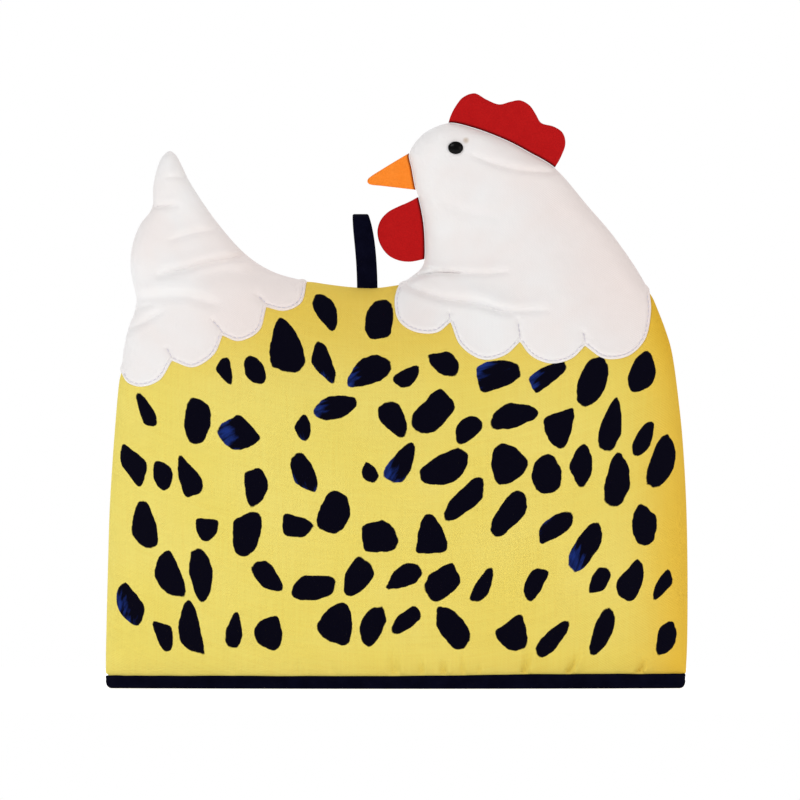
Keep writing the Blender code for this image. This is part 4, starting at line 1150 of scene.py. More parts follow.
def dab_layout(side, sizes):
    """Places, turns and shapes of the printed dabs on the flat cloth.

    Rows of points, every other one shifted by half a step, are shaken by a seeded
    draw. Each dab is then five beads along its own length, as wide as the dab is
    there, and the beads of different dabs push each other apart over the cloth until
    all dabs lie clear of each other, of the seam, the hem and the white cloths.
    """
    rng = np.random.default_rng(sizes.dab_seed + (0 if side == FRONT else 100))
    step = mm(sizes.dab_spacing)
    form = cover()
    x, z = np.meshgrid(np.arange(*PRINT_X, step * DAB_COLUMN), np.arange(*PRINT_Z, step))
    x[1::2] += step * DAB_COLUMN / 2
    spots = np.column_stack([x.ravel(), z.ravel()])
    spots = spots + rng.normal(0, step * DAB_SHAKE, (x.size, 2))
    spots = spots[inside_polygon(spots, form.outline.polygon)]
    count = len(spots)
    middle = 1 - smooth_step(np.abs(spots[:, 0] - 10), 40.0, 150.0)
    spread = FLANK_SPREAD + MIDDLE_SPREAD * middle
    lean = np.radians(MIDDLE_LEAN * middle + rng.normal(0, 1, count) * spread)
    size = np.where(rng.uniform(0, 1, count) < SMALL_SHARE, SMALL_SIZE, 1.0)
    half_length = mm(sizes.dab_length) / 2 * size * rng.uniform(0.82, 1.18, count)
    half_width = mm(sizes.dab_width) / 2 * size * rng.uniform(0.78, 1.14, count)
    taper = rng.uniform(-0.50, 0.50, count)

    beads = np.linspace(-0.66, 0.66, 5)
    radius = half_width[:, None] * (1 + taper[:, None] * beads) * np.sqrt(1 - beads ** 2)
    radius = np.minimum(radius, half_length[:, None] * (1 - np.abs(beads)) + 1.0)
    along = (np.column_stack([np.sin(lean), np.cos(lean)]) * half_length[:, None])[:, None]
    along = along * beads[:, None]
    gap = mm(sizes.dab_gap)
    room_for = radius.reshape(-1, 1) + radius.reshape(1, -1) + gap
    owner = np.repeat(np.arange(count), len(beads))
    same = owner[:, None] == owner[None]
    for _ in range(SETTLING_ROUNDS):
        centre = form.cloth_place(spots)
        stretch = form.cloth_place(spots + (1.0, 0))[:, 0] - centre[:, 0]
        narrow = np.column_stack([1 / np.clip(stretch, 1.0, 1.8), np.ones(count)])
        place = (centre[:, None] + along).reshape(-1, 2)
        apart = place[:, None] - place[None]
        distance = np.sqrt((apart ** 2).sum(2)) + 1e-9
        short = np.where(same, 0, np.clip(room_for - distance, 0, None))
        push = ((short / distance)[..., None] * apart).sum(1)
        wall = read_plan(print_room(), (spots[:, None] + along * narrow[:, None]).reshape(-1, 2))
        push = 0.14 * push.reshape(count, -1, 2).sum(1) * narrow
        lack = np.clip(radius.ravel() - wall[:, 0], 0, None)[:, None] * wall[:, 1:]
        push += 0.30 * lack.reshape(count, -1, 2).sum(1)
        spots = spots + np.clip(push, -1.5, 1.5)
    # Two dabs that are still crowded give way a little in size.
    trim = 0.6 * np.clip(short.max(1).reshape(count, -1).max(1) - 0.4 * gap, 0, None)
    half_length, half_width = half_length - trim, half_width - trim
    return {
        "spot": form.cloth_place(spots), "lean": lean,
        "half_length": half_length, "half_width": half_width,
        "taper": taper, "bend": rng.uniform(-0.25, 0.25, count),
        "blunt": rng.uniform(1.8, 2.6, count), "kind": rng.uniform(0, DAB_KINDS, count),
        "cut_turn": rng.uniform(0, 2 * math.pi, (2, count)),
        "cut_reach": rng.uniform(0.62, 2.1, (2, count)),
    }


def dab_fields(place, side, sizes):
    """Signed distance to the nearest dab, and where in that dab each point lies.

    In a dab's own axes, s along and c across in half sizes, with c shifted by the
    bend and divided by the taper, the edge is |s|^b + |c|^b = 1. Up to two straight
    sides cut a dab off, each square to a drawn direction at a drawn reach, and the
    corners that they leave are rounded.
    """
    dabs = dab_layout(side, sizes)
    distances, grains = [], []
    for block in np.array_split(place, max(1, len(place) // 4000)):
        offset = block[:, None] - dabs["spot"][None]
        sin, cos = np.sin(dabs["lean"]), np.cos(dabs["lean"])
        along = offset[..., 0] * sin + offset[..., 1] * cos
        across = offset[..., 0] * cos - offset[..., 1] * sin
        s = along / dabs["half_length"]
        width = dabs["half_width"] * (1 + dabs["taper"] * np.clip(s, -1.2, 1.2))
        c = (across - dabs["bend"] * dabs["half_width"] * s ** 2) / width
        blunt = dabs["blunt"]
        edge = (np.abs(s) ** blunt + np.abs(c) ** blunt) ** (1 / blunt) - 1
        edge = edge * dabs["half_width"]
        for turn, reach in zip(dabs["cut_turn"], dabs["cut_reach"]):
            side_on = along * np.sin(turn) + across * np.cos(turn)
            cut = side_on - reach * dabs["half_width"]
            edge = CUT_ROUNDING * np.logaddexp(edge / CUT_ROUNDING, cut / CUT_ROUNDING)
        nearest = edge.argmin(1)
        rows = np.arange(len(block))
        distances.append(np.minimum(edge[rows, nearest], 8.0))
        grains.append(np.column_stack([along[rows, nearest], across[rows, nearest],
                                       dabs["kind"][nearest]]))
    return np.concatenate(distances), np.vstack(grains)


def golden_shade_share(points):
    """Share of painted shade on the yellow: a little across the body towards the head, more at the
    head's flank, under the white and near the hem.

    Each line is its share of the painted shade and the stretch that it comes in over.
    """
    x, z = points.T
    body = 0.10 * smooth_step(x, -140.0, 110.0)
    flank = 0.75 * smooth_step(x, 118.0, 178.0) ** 1.6
    top = 0.45 * smooth_step(z, 165.0, 240.0)
    low = 0.04 * (1 - smooth_step(z, 10.0, 30.0))
    return np.clip(body + flank + top + low, 0, 1)


# ---- panels
def panel_mesh(side, sizes):
    """A padded panel: outer face, the hollow's side and the hem edge between them."""
    form = cover()
    outline = form.outline
    seam_count = len(outline.seam)
    rings = rings_beside(outline.seam, outline.outward, SEAM_RINGS)
    rings = [ring[ring[:, 1] > PANEL_FOOT_Z + 0.8] for ring in rings]
    reach = [(outline.seam, SEAM_RINGS[-1] + 0.8 * PANEL_GRID)]
    across = HEM_CENTRE_X + np.arange(10 - PANEL_HALF_WIDTH, PANEL_HALF_WIDTH - 10, HEM_GRID)
    for climb in np.arange(0.0, HEM_GRID_HEIGHT, HEM_GRID):
        rings.append(np.column_stack([across, np.full(len(across), BAND_TOP_Z + climb)]))
    middle = np.column_stack([across[[0, -1]], np.full(2, BAND_TOP_Z + HEM_GRID_HEIGHT / 2)])
    reach.append((middle, (HEM_GRID_HEIGHT + PANEL_GRID) / 2))
    rows, off_rows = crease_rows(form.creases, PANEL_GRID)
    plan, faces = plan_mesh(outline.polygon, rings + rows, PANEL_GRID, reach + off_rows)
    outer = in_depth(plan, side * outer_depth(plan, side, sizes))
    outer[:seam_count, 1] = -side * SEAM_BITE

    coarse = rings_beside(outline.seam[::3], outline.outward[::3], LINING_RINGS)
    coarse = [ring[ring[:, 1] > PANEL_FOOT_Z + 2] for ring in coarse]
    lining_plan, lining_faces = plan_mesh(outline.polygon, coarse, LINING_GRID,
                                          [(outline.seam, LINING_RINGS[-1] + 3)])
    lining = in_depth(lining_plan, side * form.lining_depth(lining_plan))

    number = np.arange(len(lining)) + len(outer)
    number[:seam_count] = np.arange(seam_count)
    border = np.array([seam_count - 1, *range(seam_count, len(outline.polygon)), 0])
    hem, tips = closing_strip(border, number[border])
    points = np.vstack([outer, lining])
    blocks = faces_out(points, [faces, hem, number[lining_faces[:, ::-1]], tips])
    plans = np.vstack([plan, lining_plan])
    return points, blocks, plans


def add_panel(side, sizes):
    """One padded panel of the cover, dressed in its print."""
    points, blocks, plans = panel_mesh(side, sizes)
    place = cover().cloth_place(plans)
    edge, grain = dab_fields(place, side, sizes)
    # The last field is the share of painted shade on the yellow.
    fields = {"cloth": flat_vectors(place), "dab_edge": edge, "dab": grain,
              "painted_shade": golden_shade_share(plans)}
    word = side_word(side)
    piece = add_piece(f"{word}_panel", points, blocks, [printed_cotton(), plain_lining()],
                      [f"panel_{word}"], fields)


# ---- white shapes
def white_mesh(side, run, sizes):
    """White cloth over the panel, its scalloped edge turned in and rounded.

    Its outer face stands off the panel along the panel's normal by a height that
    rises by a quarter circle from the edge to the turned fold and then falls to one
    thickness of cloth.
    """
    form = cover()
    outline = form.outline
    stretch = outline.stretch(run)
    seam = outline.seam[stretch]
    edge = form.edge(run)
    border = np.vstack([seam, edge[::-1][1:-1]])
    into_cloth = -left_normals(edge)
    rings = rings_beside(seam, outline.outward[stretch], SEAM_RINGS)
    rings += rings_beside(edge, into_cloth, EDGE_RINGS)
    for line in form.darts[run]:
        beside = left_normals(line)
        rings += [line + beside * offset for offset in DART_OFFSETS]
    reach = [(seam, SEAM_RINGS[-1] + 0.8 * WHITE_GRID), (edge, EDGE_RINGS[-1] + 0.8 * WHITE_GRID)]
    rows, off_rows = crease_rows(form.creases, WHITE_GRID)
    plan, faces = plan_mesh(border, rings + rows, WHITE_GRID, reach + off_rows)

    base = in_depth(plan, side * outer_depth(plan, side, sizes))
    seam_count = len(seam)
    base[:seam_count, 1] = -side * SEAM_BITE
    # Seen from the front the triangles turn anticlockwise, which faces -Y.
    lift = corner_normals(base, faces) * (1 if side == FRONT else -1)
    lift[:seam_count] = in_depth(outline.outward[stretch], np.zeros(seam_count))

    from_edge = distance_to_line(plan, edge)
    cloth, fold = mm(sizes.cloth_thickness), mm(sizes.fold_thickness)
    rounding = np.sqrt(1 - (1 - np.clip(from_edge / 0.9, 0, 1)) ** 2)
    thickness = fold + (cloth - fold) * smooth_step(from_edge, *TURNED_EDGE)
    groove = np.zeros(len(plan))
    for line in form.stitch_lines(run, mm(sizes.stitch_inset)):
        near = near_line(plan, line, STITCH_BOX)
        distance = distance_to_line(plan[near], line)
        groove[near] = np.maximum(groove[near], np.exp(-(distance / 0.7) ** 2))
    height = CLOSE_GAP + thickness * rounding * (1 - STITCH_SINK * groove)

    over = base + lift * height[:, None]
    under = base + lift * CLOSE_GAP
    count = len(plan)
    number = np.arange(count) + count
    number[seam_count:len(border)] = np.arange(seam_count, len(border))
    number[[0, seam_count - 1]] = [0, seam_count - 1]
    over[[0, seam_count - 1]] = under[[0, seam_count - 1]]
    row = np.arange(seam_count)
    side_strip, tips = closing_strip(row, number[row])
    points = np.vstack([over, under])
    blocks = faces_out(points, [faces, side_strip, tips, number[faces[:, ::-1]]])
    return points, blocks, plan


def rosy_shade_share(points):
    """Share of painted shade on the white, warmer and darker: towards the neck's outer side and
    the saddle.
    """
    x, z = points.T
    neck = smooth_step(x - 0.55 * (300 - z), 40.0, 130.0) * (x > -20)
    tail = 0.8 * smooth_step(x, -140.0, -85.0) * (x < -20)
    return np.clip(neck + tail, 0, 1)


def add_white_shape(side, run, name, sizes):
    """One white shape of tail or neck."""
    points, blocks, plan = white_mesh(side, run, sizes)
    place = cover().cloth_place(plan)
    both = np.vstack([place, place])
    # The share of painted shade on the white, for both faces.
    painted_shade = np.tile(rosy_shade_share(plan), 2)
    word = side_word(side)
    piece = add_piece(f"{word}_{name}_cloth", points, blocks, [white_cotton()],
                      [f"{name}_{word}"],
                      {"cloth": flat_vectors(both), "painted_shade": painted_shade})
    mesh_area(points, blocks[:1])


# ---- stitches
def surface_frame(points, side, sizes):
    """Points on the white cloth where it is stitched, with the direction out of it."""
    probe = 0.5
    stacked = np.vstack([points, points + (probe, 0), points + (0, probe)])
    depth = outer_depth(stacked, side, sizes).reshape(3, -1)
    slope = (depth[1:] - depth[0]) / probe
    out = np.column_stack([-slope[0], np.full(len(points), side), -slope[1]])
    out /= np.linalg.norm(out, axis=1)[:, None]
    lift = CLOSE_GAP + mm(sizes.fold_thickness) * (1 - STITCH_SINK)
    return in_depth(points, side * depth[0]) + out * lift, out


def stitch_mesh(side, sizes):
    """All edge stitches of one side: capsules that arch out of the cloth.

    A stitch runs from 0 to its length along the line. Its centre rises by half a
    sine from just under the cloth, and its radius by the fourth root of 1 - s^4,
    with s from -1 to 1 along it.
    """
    length, gap = mm(sizes.stitch_length), mm(sizes.stitch_gap)
    radius = mm(sizes.thread_thickness) / 2
    rings, around = 7, 8
    share = np.linspace(-1, 1, rings)
    starts, ends = [], []
    for run in (TAIL_RUN, NECK_RUN):
        for line in cover().stitch_lines(run, mm(sizes.stitch_inset)):
            along = line_length(line)
            first = np.arange(0.4, along[-1] - length, length + gap)
            for store, at in ((starts, first), (ends, first + length)):
                store.append(np.column_stack([np.interp(at, along, c) for c in line.T]))
    starts, ends = np.vstack(starts), np.vstack(ends)
    centres = (starts[:, None] * (1 - share[None, :, None])
               + ends[:, None] * (1 + share[None, :, None])) / 2
    count = len(starts)
    surface, out = surface_frame(centres.reshape(-1, 2), side, sizes)
    surface, out = surface.reshape(count, rings, 3), out.reshape(count, rings, 3)
    forward = surface[:, -1:] - surface[:, :1]
    forward = np.broadcast_to(forward / np.linalg.norm(forward, axis=2)[..., None], out.shape)
    sideways = np.cross(forward, out)
    rise = radius * (np.cos(share * math.pi / 2) - 0.55)
    wide = radius * np.maximum(1 - share ** 4, 0.06) ** 0.25
    turn = np.linspace(0, 2 * math.pi, around, endpoint=False)
    circle = (np.cos(turn)[:, None] * sideways[:, :, None]
              + np.sin(turn)[:, None] * out[:, :, None]) * wide[None, :, None, None]
    points = (surface + out * rise[None, :, None])[:, :, None] + circle
    per_stitch = rings * around
    body = grid_faces(rings, around, wrap_columns=True)
    shift = (np.arange(count) * per_stitch)[:, None, None]
    walls = (body[None] + shift).reshape(-1, 4)
    first_cap = np.arange(around)[::-1]
    caps = np.stack([first_cap, np.arange(around) + per_stitch - around])
    caps = (caps[None] + shift).reshape(-1, around)
    cloth = np.tile(flat_grid(share[:, None] * length / 2, turn), (count, 1))
    flat = points.reshape(-1, 3)
    return flat, faces_out(flat, [walls, caps]), cloth


def add_edge_stitches(side, sizes):
    """The edge stitching of one side as one piece."""
    points, blocks, cloth = stitch_mesh(side, sizes)
    add_piece(f"{side_word(side)}_edge_stitches", points, blocks, [stitch_thread()],
              fields={"cloth": cloth})


# ---- felt
def with_count(line, count):
    """The same line with another count of points, spread evenly by their number."""
    share, given = np.linspace(0, 1, count), np.linspace(0, 1, len(line))
    return np.column_stack([np.interp(share, given, column) for column in line.T])


def felt_mesh(edge, neck_points, thickness, wave):
    """A felt piece between the neck's outline and its own free edge.

    The plan is P(s, t) = (1 - t) * seat(s) + t * free(s). At a distance e from the
    free edge the half thickness is H * (1 - (1 - e / R)^2.6)^(1 / 2.6). The seam
    pinches the felt to a third of that at its seat, and the felt sways from the
    seam's plane by a slow wave that grows away from it.
    """
    outline = cover().outline
    inner = outline.stretch(NECK_RUN, *neck_points)
    seat = outline.seam[inner] + outline.outward[inner] * (APPLIQUE_LIFT - 0.1)
    seat = even_steps(seat, 0.8)
    free = even_steps(smooth_curve([seat[0], *edge, seat[-1]], 1.0)[0], 0.8)
    count = max(len(seat), len(free))
    seat, free = with_count(seat, count), with_count(free, count)
    deepest = np.linalg.norm(free - seat, axis=1).max()
    rim = np.array([0, 0.1, 0.25, 0.45, 0.7, 1.0, 1.5]) / deepest
    close = np.array([0, 0.5, 1.0, 1.5, 2.1]) / deepest
    t = np.concatenate([close, np.linspace(close[-1], 1 - rim[-1], round(deepest / 1.3))[1:-1],
                        1 - rim[::-1]])
    plan = seat[None] * (1 - t[:, None, None]) + free[None] * t[:, None, None]
    flat = plan.reshape(-1, 2)
    open_edge = distance_to_line(flat, free)
    half, radius, power = thickness / 2, 0.9, 2.6
    inside = 1 - np.clip(open_edge / radius, 0, 1)
    height = half * (1 - inside ** power) ** (1 / power)
    from_seat = distance_to_line(flat, seat)
    height = height * (0.35 + 0.65 * smooth_step(from_seat, 0.0, 1.9))
    spread = smooth_step(from_seat, 1.0, 12.0)
    sway = wave * spread * np.sin(flat[:, 0] / 9.0 + flat[:, 1] / 14.0)
    rows = len(t)
    sheets = [in_depth(flat, sway + sign * height) for sign in (-1, 1)]
    total = rows * count
    number = np.arange(total) + total
    grid = np.arange(total).reshape(rows, count)
    welded = np.concatenate([grid[-1], grid[:, 0], grid[:, -1]])
    number[welded] = welded
    for sheet in sheets:
        sheet[welded, 1] = sway[welded]
    points = np.vstack(sheets)
    # Painted shade: 1 up to 0.4 mm from the seat and 0 from 1.7 mm, where the felt is darkened.
    pressed = np.tile(1 - smooth_step(from_seat, 0.4, 1.7), 2)
    faces = grid_faces(rows, count)
    back = number[faces[:, ::-1]]
    seat_strip, tips = closing_strip(grid[0], number[grid[0]])
    blocks = faces_out(points, [faces, back, seat_strip[:, ::-1], tips[:, ::-1]])
    return points, blocks, pressed


def add_felt(name, edge, neck_points, finish, sizes, wave):
    """One felt piece, caught in the head's seam."""
    points, blocks, pressed = felt_mesh(edge, neck_points, mm(sizes.felt_thickness), wave)
    # Its last field carries the painted shade next to the seat.
    piece = add_piece(f"{name}_felt", points, blocks, [finish], [name],
                      {"pressed": pressed})
    mesh_area(points, blocks[:1])


# ---- binding
def binding_loops():
    """Closed plan lines of the panels' hem: their outer side and the hollow's side.

    The outer one is y = -+ depth(x) along x = centre + half width * cos(angle); both
    are given as functions of how far they are moved off the cloth.
    """
    form = cover()
    angles = np.linspace(0, 2 * math.pi, 960, endpoint=False)
    facing = -np.sign(np.round(np.sin(angles), 9))
    smooth = form.smooth_depth

    def depth_at(x):
        return smooth(np.column_stack([x, np.full(len(x), PANEL_FOOT_Z)]))

    def outside(offset):
        x = HEM_CENTRE_X + PANEL_HALF_WIDTH * np.cos(angles)
        line = np.column_stack([x, facing * depth_at(x)])
        along = np.roll(line, -1, axis=0) - np.roll(line, 1, axis=0)
        normal = np.column_stack([-along[:, 1], along[:, 0]])
        return line + offset * normal / np.linalg.norm(normal, axis=1)[:, None]

    def inside(offset):
        reach = np.linspace(0, PANEL_HALF_WIDTH, 4000)
        room = depth_at(HEM_CENTRE_X + reach) - HEM_WALL
        room = room - offset * np.hypot(1, np.gradient(room, reach))
        far = reach > 100
        tip = np.interp(0, -room[far], reach[far])
        x = tip * np.cos(angles)
        depth = np.interp(np.abs(x), reach, room) * (np.abs(x) < tip * 0.99999)
        return np.column_stack([HEM_CENTRE_X + x, facing * np.maximum(depth, 0)])

    return outside, inside, angles


def binding_mesh():
    """Bias tape folded round the hem: a U-shaped section carried round the hem.

    Each row of the section is how far it stands off the cloth and its height. The
    folded rims are thicker. The rim sways by three sines along the hem, and climbs
    towards the head by a hyperbolic tangent. At both flanks the bottom is lifted by
    a quarter circle.
    """
    outside, inside, angles = binding_loops()
    top = BINDING_HEIGHT
    cloth = BINDING_TUCK
    outer_rows = [
        (CLOSE_GAP, BINDING_CLOTH + 0.1), (CLOSE_GAP, 4.0), (CLOSE_GAP, top - 0.5),
        (0.45, top - 0.1), (0.8, top), (1.2, top - 0.15), (cloth - 0.02, top - 0.55),
        (cloth, top - 1.1), (cloth - 0.12, top - 2.0), (cloth - 0.22, top - 3.0),
        (cloth - 0.16, 3.4), (cloth, 2.2), (cloth, 1.5), (cloth - 0.18, 0.85),
        (cloth - 0.5, 0.35), (cloth - 1.0, 0.06), (0.1, 0.0),
    ]
    rows = [(outside, *row) for row in outer_rows]
    rows += [(inside, *row) for row in outer_rows[::-1]]
    wave = (np.sin(angles * 9 + 0.6) + np.sin(angles * 17 + 2.0) + np.sin(angles * 31)) / 3
    points = []
    for line, offset, height in rows:
        plan = line(offset)
        past = np.abs(plan[:, 0] - HEM_CENTRE_X) - (HEM_WIDTH / 2 - BINDING_CORNER)
        past = np.clip(past, 0, BINDING_CORNER)
        corner = BINDING_CORNER - np.sqrt(BINDING_CORNER ** 2 - past ** 2)
        wider = BINDING_SWAY * wave + BINDING_RISE * np.tanh((plan[:, 0] - RISE_X) / RISE_RUN)
        lifted = height + wider * smooth_step(height, 3.0, top)
        lifted = lifted + corner * (1 - smooth_step(height, 0.0, 6.0))
        points.append(np.column_stack([plan, np.broadcast_to(lifted, len(plan))]))
    along = line_length(outside(0.0))
    section = line_length(np.array([row[1:] for row in rows]))
    points = np.vstack(points)
    faces = grid_faces(len(rows), len(angles), wrap_rows=True, wrap_columns=True)
    return points, faces_out(points, [faces]), flat_grid(along, section[:, None]), along[-1]


# ---- loop
def loop_mesh():
    """A tape folded over at its top, its two legs sprung apart.

    The path climbs from one foot with y easing from 0 to the bulge, turns over by a
    half circle and comes down again; the section is a flat rounded band whose edges
    are folded and a little thicker. With h the share of the height, the band leans by
    h^1.7 and narrows by h^6.
    """
    low, high = node_box("hanging_loop")
    top, foot_z = high[2], low[2] - LOOP_TUCK
    half = BINDING_CLOTH / 2
    foot_y = CLOSE_GAP + half
    centre_z = top - half - LOOP_BULGE
    rise = np.linspace(0, 1, 34)
    leg_y = foot_y + (LOOP_BULGE - foot_y) * smooth_step(rise, 0, 1)
    leg_z = foot_z + (centre_z - foot_z) * rise
    turn = np.linspace(0, math.pi, 21)[1:-1]
    path = np.vstack([
        np.column_stack([-leg_y, leg_z]),
        np.column_stack([-LOOP_BULGE * np.cos(turn), centre_z + LOOP_BULGE * np.sin(turn)]),
        np.column_stack([leg_y, leg_z])[::-1]])
    normal = left_normals(path)
    normal[0], normal[-1] = (-1, 0), (1, 0)
    height = np.clip((path[:, 1] - foot_z) / (top - foot_z), 0, 1)
    middle = LOOP_FOOT_X + LOOP_LEAN * height ** 1.7
    wide = LOOP_WIDTH * (1 - LOOP_NARROWING * height ** 6)

    share = np.concatenate([np.linspace(-1, 1, 15), np.linspace(1, -1, 15)[1:-1]])
    face = np.repeat([1.0, -1.0], (15, 13))
    rim = np.abs(share) ** 8
    swell = 1 + 0.18 * np.exp(-((np.abs(share) - 0.82) / 0.08) ** 2)
    out = half * face * swell * np.sqrt(np.maximum(1 - rim, 0))
    x = middle[:, None] + wide[:, None] / 2 * share
    y = path[:, :1] + normal[:, :1] * out
    z = path[:, 1:] + normal[:, 1:] * out
    sag = 0.25 * np.sin(np.linspace(0, 9, len(path)))[:, None]
    points = np.stack([x + sag * height[:, None], y, z], axis=-1)
    rows, columns = points.shape[:2]
    flat = points.reshape(-1, 3)
    walls = grid_faces(rows, columns, wrap_columns=True)
    caps = np.stack([np.arange(columns)[::-1], np.arange(columns) + (rows - 1) * columns])
    along = line_length(path)
    cloth = flat_grid(along[:, None], share * LOOP_WIDTH / 2)
    return flat, faces_out(flat, [walls, caps]), cloth, along[-1]


# ---- eyes
def eye_mesh(side, sizes):
    """A low oval dome, square to the cloth under it.

    Turned round its axis: at an angle a from the rim to the crown, the share of the
    half length is cos(a) and the height is that of the dome times sin(a)^0.9.
    """
    low, high = node_box(f"eye_{side_word(side)}")
    spot = np.array([[EYE_X, EYE_Z]])
    seat, out = surface_frame(spot, side, sizes)
    out = out[0]
    cloth_top = CLOSE_GAP + mm(sizes.cloth_thickness)
    stitched_top = CLOSE_GAP + mm(sizes.fold_thickness) * (1 - STITCH_SINK)
    centre = seat[0] + out * (cloth_top - stitched_top + 0.08)
    across = np.array([1.0, 0, 0]) - out * out[0]
    across /= np.linalg.norm(across)
    up = np.cross(across, out)
    up *= np.sign(up[2])
    half_length, half_height = (high[0] - low[0]) / 2, (high[2] - low[2]) / 2
    dome = high[1] - low[1] - 0.3
    climb = np.radians(np.array([0, 0, 8, 16, 26, 37, 48, 59, 70, 80]))
    inset = np.array([0.9, 0.965, 1, 1, 1, 1, 1, 1, 1, 1]) * np.cos(climb)
    rise = dome * np.concatenate([[0, 0.06], 0.12 + 0.88 * np.sin(climb[2:]) ** 0.9])
    turn = np.linspace(0, 2 * math.pi, 48, endpoint=False)
    points = (centre + (inset[:, None] * np.cos(turn) * half_length)[..., None] * across
              + (inset[:, None] * np.sin(turn) * half_height)[..., None] * up
              + rise[:, None, None] * out)
    rings, around = points.shape[:2]
    crown = centre + out * dome
    flat = np.vstack([points.reshape(-1, 3), crown])
    walls = grid_faces(rings, around, wrap_columns=True)
    last = (rings - 1) * around + np.arange(around)
    cap = np.column_stack([last, np.roll(last, -1), np.full(around, len(flat) - 1)])
    floor = np.arange(around)[::-1][None]
    return flat, faces_out(flat, [walls, cap, floor])


# ---------------------------------------------------------------- properties
def distance(name, description, default):
    """A length property given in millimetres and held in metres."""
    return bpy.props.FloatProperty(name=name, description=description, default=metres(default),
                                   min=0.0, unit="LENGTH", subtype="DISTANCE")


def colour(name, description, hexa):
    """A colour property with an sRGB hex default."""
    return bpy.props.FloatVectorProperty(name=name, description=description, size=4,
                                         default=linear(hexa), min=0.0, max=1.0,
                                         subtype="COLOR")


class CosySizes(bpy.types.PropertyGroup):
    """Sizes of the cloth, its relief, its print and its stitches."""

    cloth_thickness: distance("White Cloth", "Thickness of the white cotton", 0.75)
    fold_thickness: distance("Turned Edge", "Thickness of its turned and pressed edge", 1.25)
    felt_thickness: distance("Felt", "Thickness of comb, beak and wattle", 2.4)
    wadding_unevenness: distance("Wadding", "Unevenness of the padded panels", 0.45)
    hem_pucker: distance("Hem Puckers", "Usual depth of the puckers above the binding", 2.1)
    seam_pucker: distance("Seam Puckers", "Height of the puckers beside the seam", 0.28)
    crease_strength: bpy.props.FloatProperty(
        name="Creases", description="Strength of the pressed creases", default=1.0, min=0.0)
    stitch_inset: distance("Stitch Inset", "Edge stitching's distance from the fold", 1.8)
    stitch_pull: distance("Stitch Pull", "How deep the stitches pull the padding in", 0.75)
    stitch_length: distance("Stitch Length", "Length of one stitch", 2.3)
    stitch_gap: distance("Stitch Gap", "Space between two stitches", 0.6)
    thread_thickness: distance("Thread", "Thickness of the sewing thread", 0.5)
    dab_length: distance("Dab Length", "Usual length of a printed dab", 28.8)
    dab_width: distance("Dab Width", "Usual width of a printed dab", 17.0)
    dab_spacing: distance("Dab Spacing", "Distance from dab to dab", 31.9)
    dab_gap: distance("Dab Gap", "Least distance between two dabs' edges", 3.9)
    dab_seed: bpy.props.IntProperty(
        name="Dab Layout", description="Seed of the print's layout", default=4, min=0)
    # Real quilting cotton has a thread every 0.45 mm. It is drawn coarser, so that it shows.
    weave_spacing: distance("Weave", "Distance over two threads of the drawn weave", 1.5)


class CosyColours(bpy.types.PropertyGroup):
    """Colours of the cloths, felts, tape and thread."""

    yellow: colour("Yellow", "Printed cotton's ground", "#E4D46A")
    pale_yellow: colour("Pale Yellow", "Its paler clouds", "#E9DC7F")
    # Painted shade of the yellow at flank, under the white and near the hem, and the colour of its
    # thicker threads.
    golden_and_shade: colour("Golden", "Its deeper tone towards flank and neck", "#DDB032")
    ink: colour("Ink", "Printed dabs", "#040311")
    ink_blue: colour("Blue Ink", "Streaks in half-dry dabs", "#1B327E")
    white: colour("White", "White cotton", "#EAEAEB")
    # Random warmer clouds of the white, and its painted shade.
    rosy_white_and_shade: colour("Rosy White", "Its warmer tone", "#E8DDDA")
    mark: colour("Mark", "Small beige mark beside the eye", "#B9A58F")
    undyed: colour("Undyed", "Plain cotton inside", "#E9E1D0")
    red: colour("Red", "Felt of comb and wattle", "#AD1517")
    light_red: colour("Light Red", "Its raised fibres", "#BA1C1C")
    # Painted shade of the red felt next to the head's seam.
    seam_shadow_red: colour("Deep Red", "Its nap pressed in the seam", "#5A090B")
    orange: colour("Orange", "Felt of the beak", "#F28227")
    light_orange: colour("Light Orange", "Its raised fibres", "#FA9138")
    # Painted shade of the orange felt next to the head's seam.
    seam_shadow_orange: colour("Deep Orange", "Its nap pressed in the seam", "#8E3A10")
    navy: colour("Navy", "Binding and loop", "#050514")
    worn_navy: colour("Worn Navy", "Their rubbed places", "#0B0C1F")
    black: colour("Black", "Eyes", "#040404")
    scuffed_black: colour("Scuffed Black", "Their rubbed places", "#0D0C0C")
    thread: colour("Thread", "Edge stitching", "#CBC7D3")
    thread_light: colour("Light Thread", "Lit side of its twist", "#E6E2EA")


# ---------------------------------------------------------------- operators
class COSY_OT_add_panels(bpy.types.Operator):
    """Add the two padded panels of printed cotton"""

    bl_idname = "cosy.add_panels"
    bl_label = "Padded Panels"
    bl_options = {"REGISTER", "UNDO"}

    def execute(self, context):
        sizes = context.scene.cosy_sizes
        for side in (FRONT, BACK):
            add_panel(side, sizes)
        return {"FINISHED"}


class COSY_OT_add_white_shapes(bpy.types.Operator):
    """Add the white cotton shapes over tail and neck, front and back"""

    bl_idname = "cosy.add_white_shapes"
    bl_label = "White Shapes"
    bl_options = {"REGISTER", "UNDO"}

    def execute(self, context):
        sizes = context.scene.cosy_sizes
        for side in (FRONT, BACK):
            add_white_shape(side, TAIL_RUN, "tail", sizes)
            add_white_shape(side, NECK_RUN, "neck", sizes)
        return {"FINISHED"}


class COSY_OT_add_edge_stitches(bpy.types.Operator):
    """Add the edge stitching of the white shapes"""

    bl_idname = "cosy.add_edge_stitches"
    bl_label = "Edge Stitching"
    bl_options = {"REGISTER", "UNDO"}

    def execute(self, context):
        sizes = context.scene.cosy_sizes
        for side in (FRONT, BACK):
            add_edge_stitches(side, sizes)
        return {"FINISHED"}


